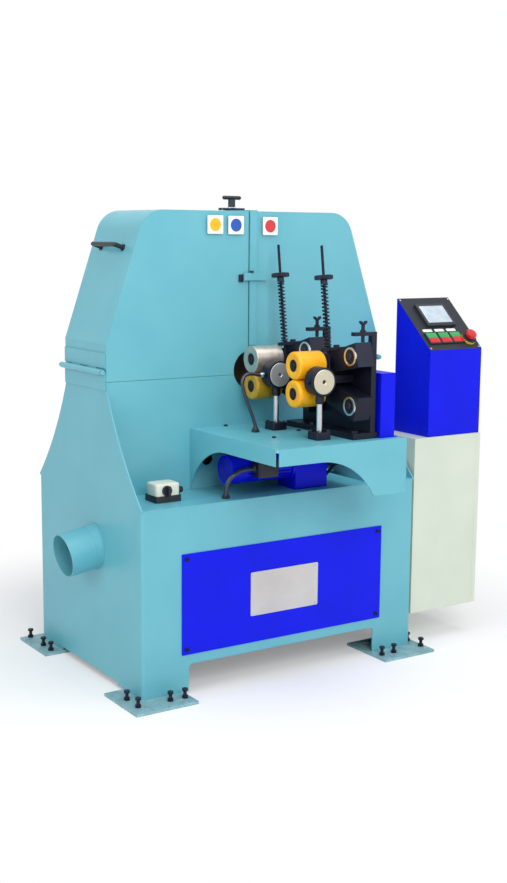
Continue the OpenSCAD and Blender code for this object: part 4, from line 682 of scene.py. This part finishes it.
# ---------------------------------------------------------------- console

SLOPE = math.radians(42.3)
con0 = low("console_box")
con_x0, con_y0, con_front_z = 640.5, con0[1], 1100.0
across, up_slope = X, np.array([0, math.cos(SLOPE), math.sin(SLOPE)])
out = np.cross(across, up_slope)


def on_panel(x, s, w=0.0):
    """Point of the console's sloped panel: x across from its left edge, s up the slope, w out of it."""
    return np.array([con_x0, con_y0, con_front_z]) + x * across + s * up_slope + w * out


def console_finish():
    """The console's blue coat, and dark anodised aluminium on all that lies on or above its sloped panel."""
    made = BLUE.copy()
    made.name = "blue_coat_with_dark_panel"
    tree = made.node_tree
    skin = next(n for n in tree.nodes if n.type == "BSDF_PRINCIPLED")
    blue = skin.inputs["Base Color"].links[0].from_socket
    place = add(tree, "ShaderNodeTexCoord").outputs["Object"]
    above = add(tree, "ShaderNodeVectorMath", {0: place, 1: tuple(out)}, operation="DOT_PRODUCT").outputs["Value"]
    level = float(on_panel(0, 0) @ out) * MM
    where = add(tree, "ShaderNodeMath", {0: above, 1: level - 0.4 * MM}, operation="GREATER_THAN")
    pick = add(tree, "ShaderNodeMix", {0: where.outputs[0], 6: blue, 7: linear("#2b2f36")}, data_type="RGBA")
    tree.links.new(pick.outputs[2], skin.inputs["Base Color"])
    return made


dress(console_finish(), "console_box")


def on_slope(corners, thick, w, r, edge, hollow=None, crown=0.0):
    return slab(corners, thick, on_panel(0, 0, w), across, up_slope, r, edge, hollow, crown)


piece(
    "screen_bezel", [on_slope(box_corners(51.6, 112.6, 190.4, 223.4), 2.4, 10.4, 5, 1.2)], "frame", BLACK,
)
piece("screen_glass", [on_slope(box_corners(63, 126, 179, 211), 0.8, 12.6, 2, 0.3)], "frame", SCREEN)
ESTOP_X = 213.5
collar = [(0, 13.6), (0, 29.3), (8.4, 29.3), (11.4, 26), (11.4, 13.6)]
piece("estop_collar", [turned(collar, on_panel(ESTOP_X, 48), out, 64, True)], "frame", YELLOW)
head = [(18.3, 0), (18.3, 19), (19.5, 21), (30, 21), (33, 19), (34.3, 14), (34.3, 0)]
piece("estop_mushroom",
      [turned([(-1.7, 0), (-1.7, 12.5), (18.3, 12.5), *head[1:]], on_panel(ESTOP_X, 48), out, 64)], "estop_head",
      RED, ["estop_head"])
KEY_X, KEY_PITCH, KEY_S = 45, 57, 56
legends, frames = [], []
for i in range(3):
    x = KEY_X + KEY_PITCH * i
    for up, kind, finish in ((1, "start", GREEN), (-1, "stop", RED)):
        node = f"{kind}_button_{i + 1}"
        s = KEY_S + up * 12
        key = on_slope(box_corners(x - 22.7, s - 11.7, x + 22.7, s + 11.7), 12.0, -3.7, 3, 1.2, crown=0.8)
        piece(f"{kind}_key_{i + 1}", [key], node, finish, [node])
    rim, well = box_corners(
        x - 27, KEY_S - 28, x + 27, KEY_S + 28
    ), box_corners(x - 23, KEY_S - 24, x + 23, KEY_S + 24)
    frames.append(on_slope(rim, 6.5, 0, 3, 1.5, well))
    legends.append(on_slope(box_corners(x - 22, 91, x + 22, 104), 0.8, 0, 2, 0.3))
piece("button_surrounds", frames, "frame", BLACK)
piece("blank_legend_plates", legends, "frame", WHITE)
corner_screws = [turned(socket_screw(8, 2.5), on_panel(x, s), out, 24) for x in (8, 243) for s in (8, 256)]
piece("panel_corner_screws", corner_screws, "frame", TURNED)

make_stage()
make_camera()
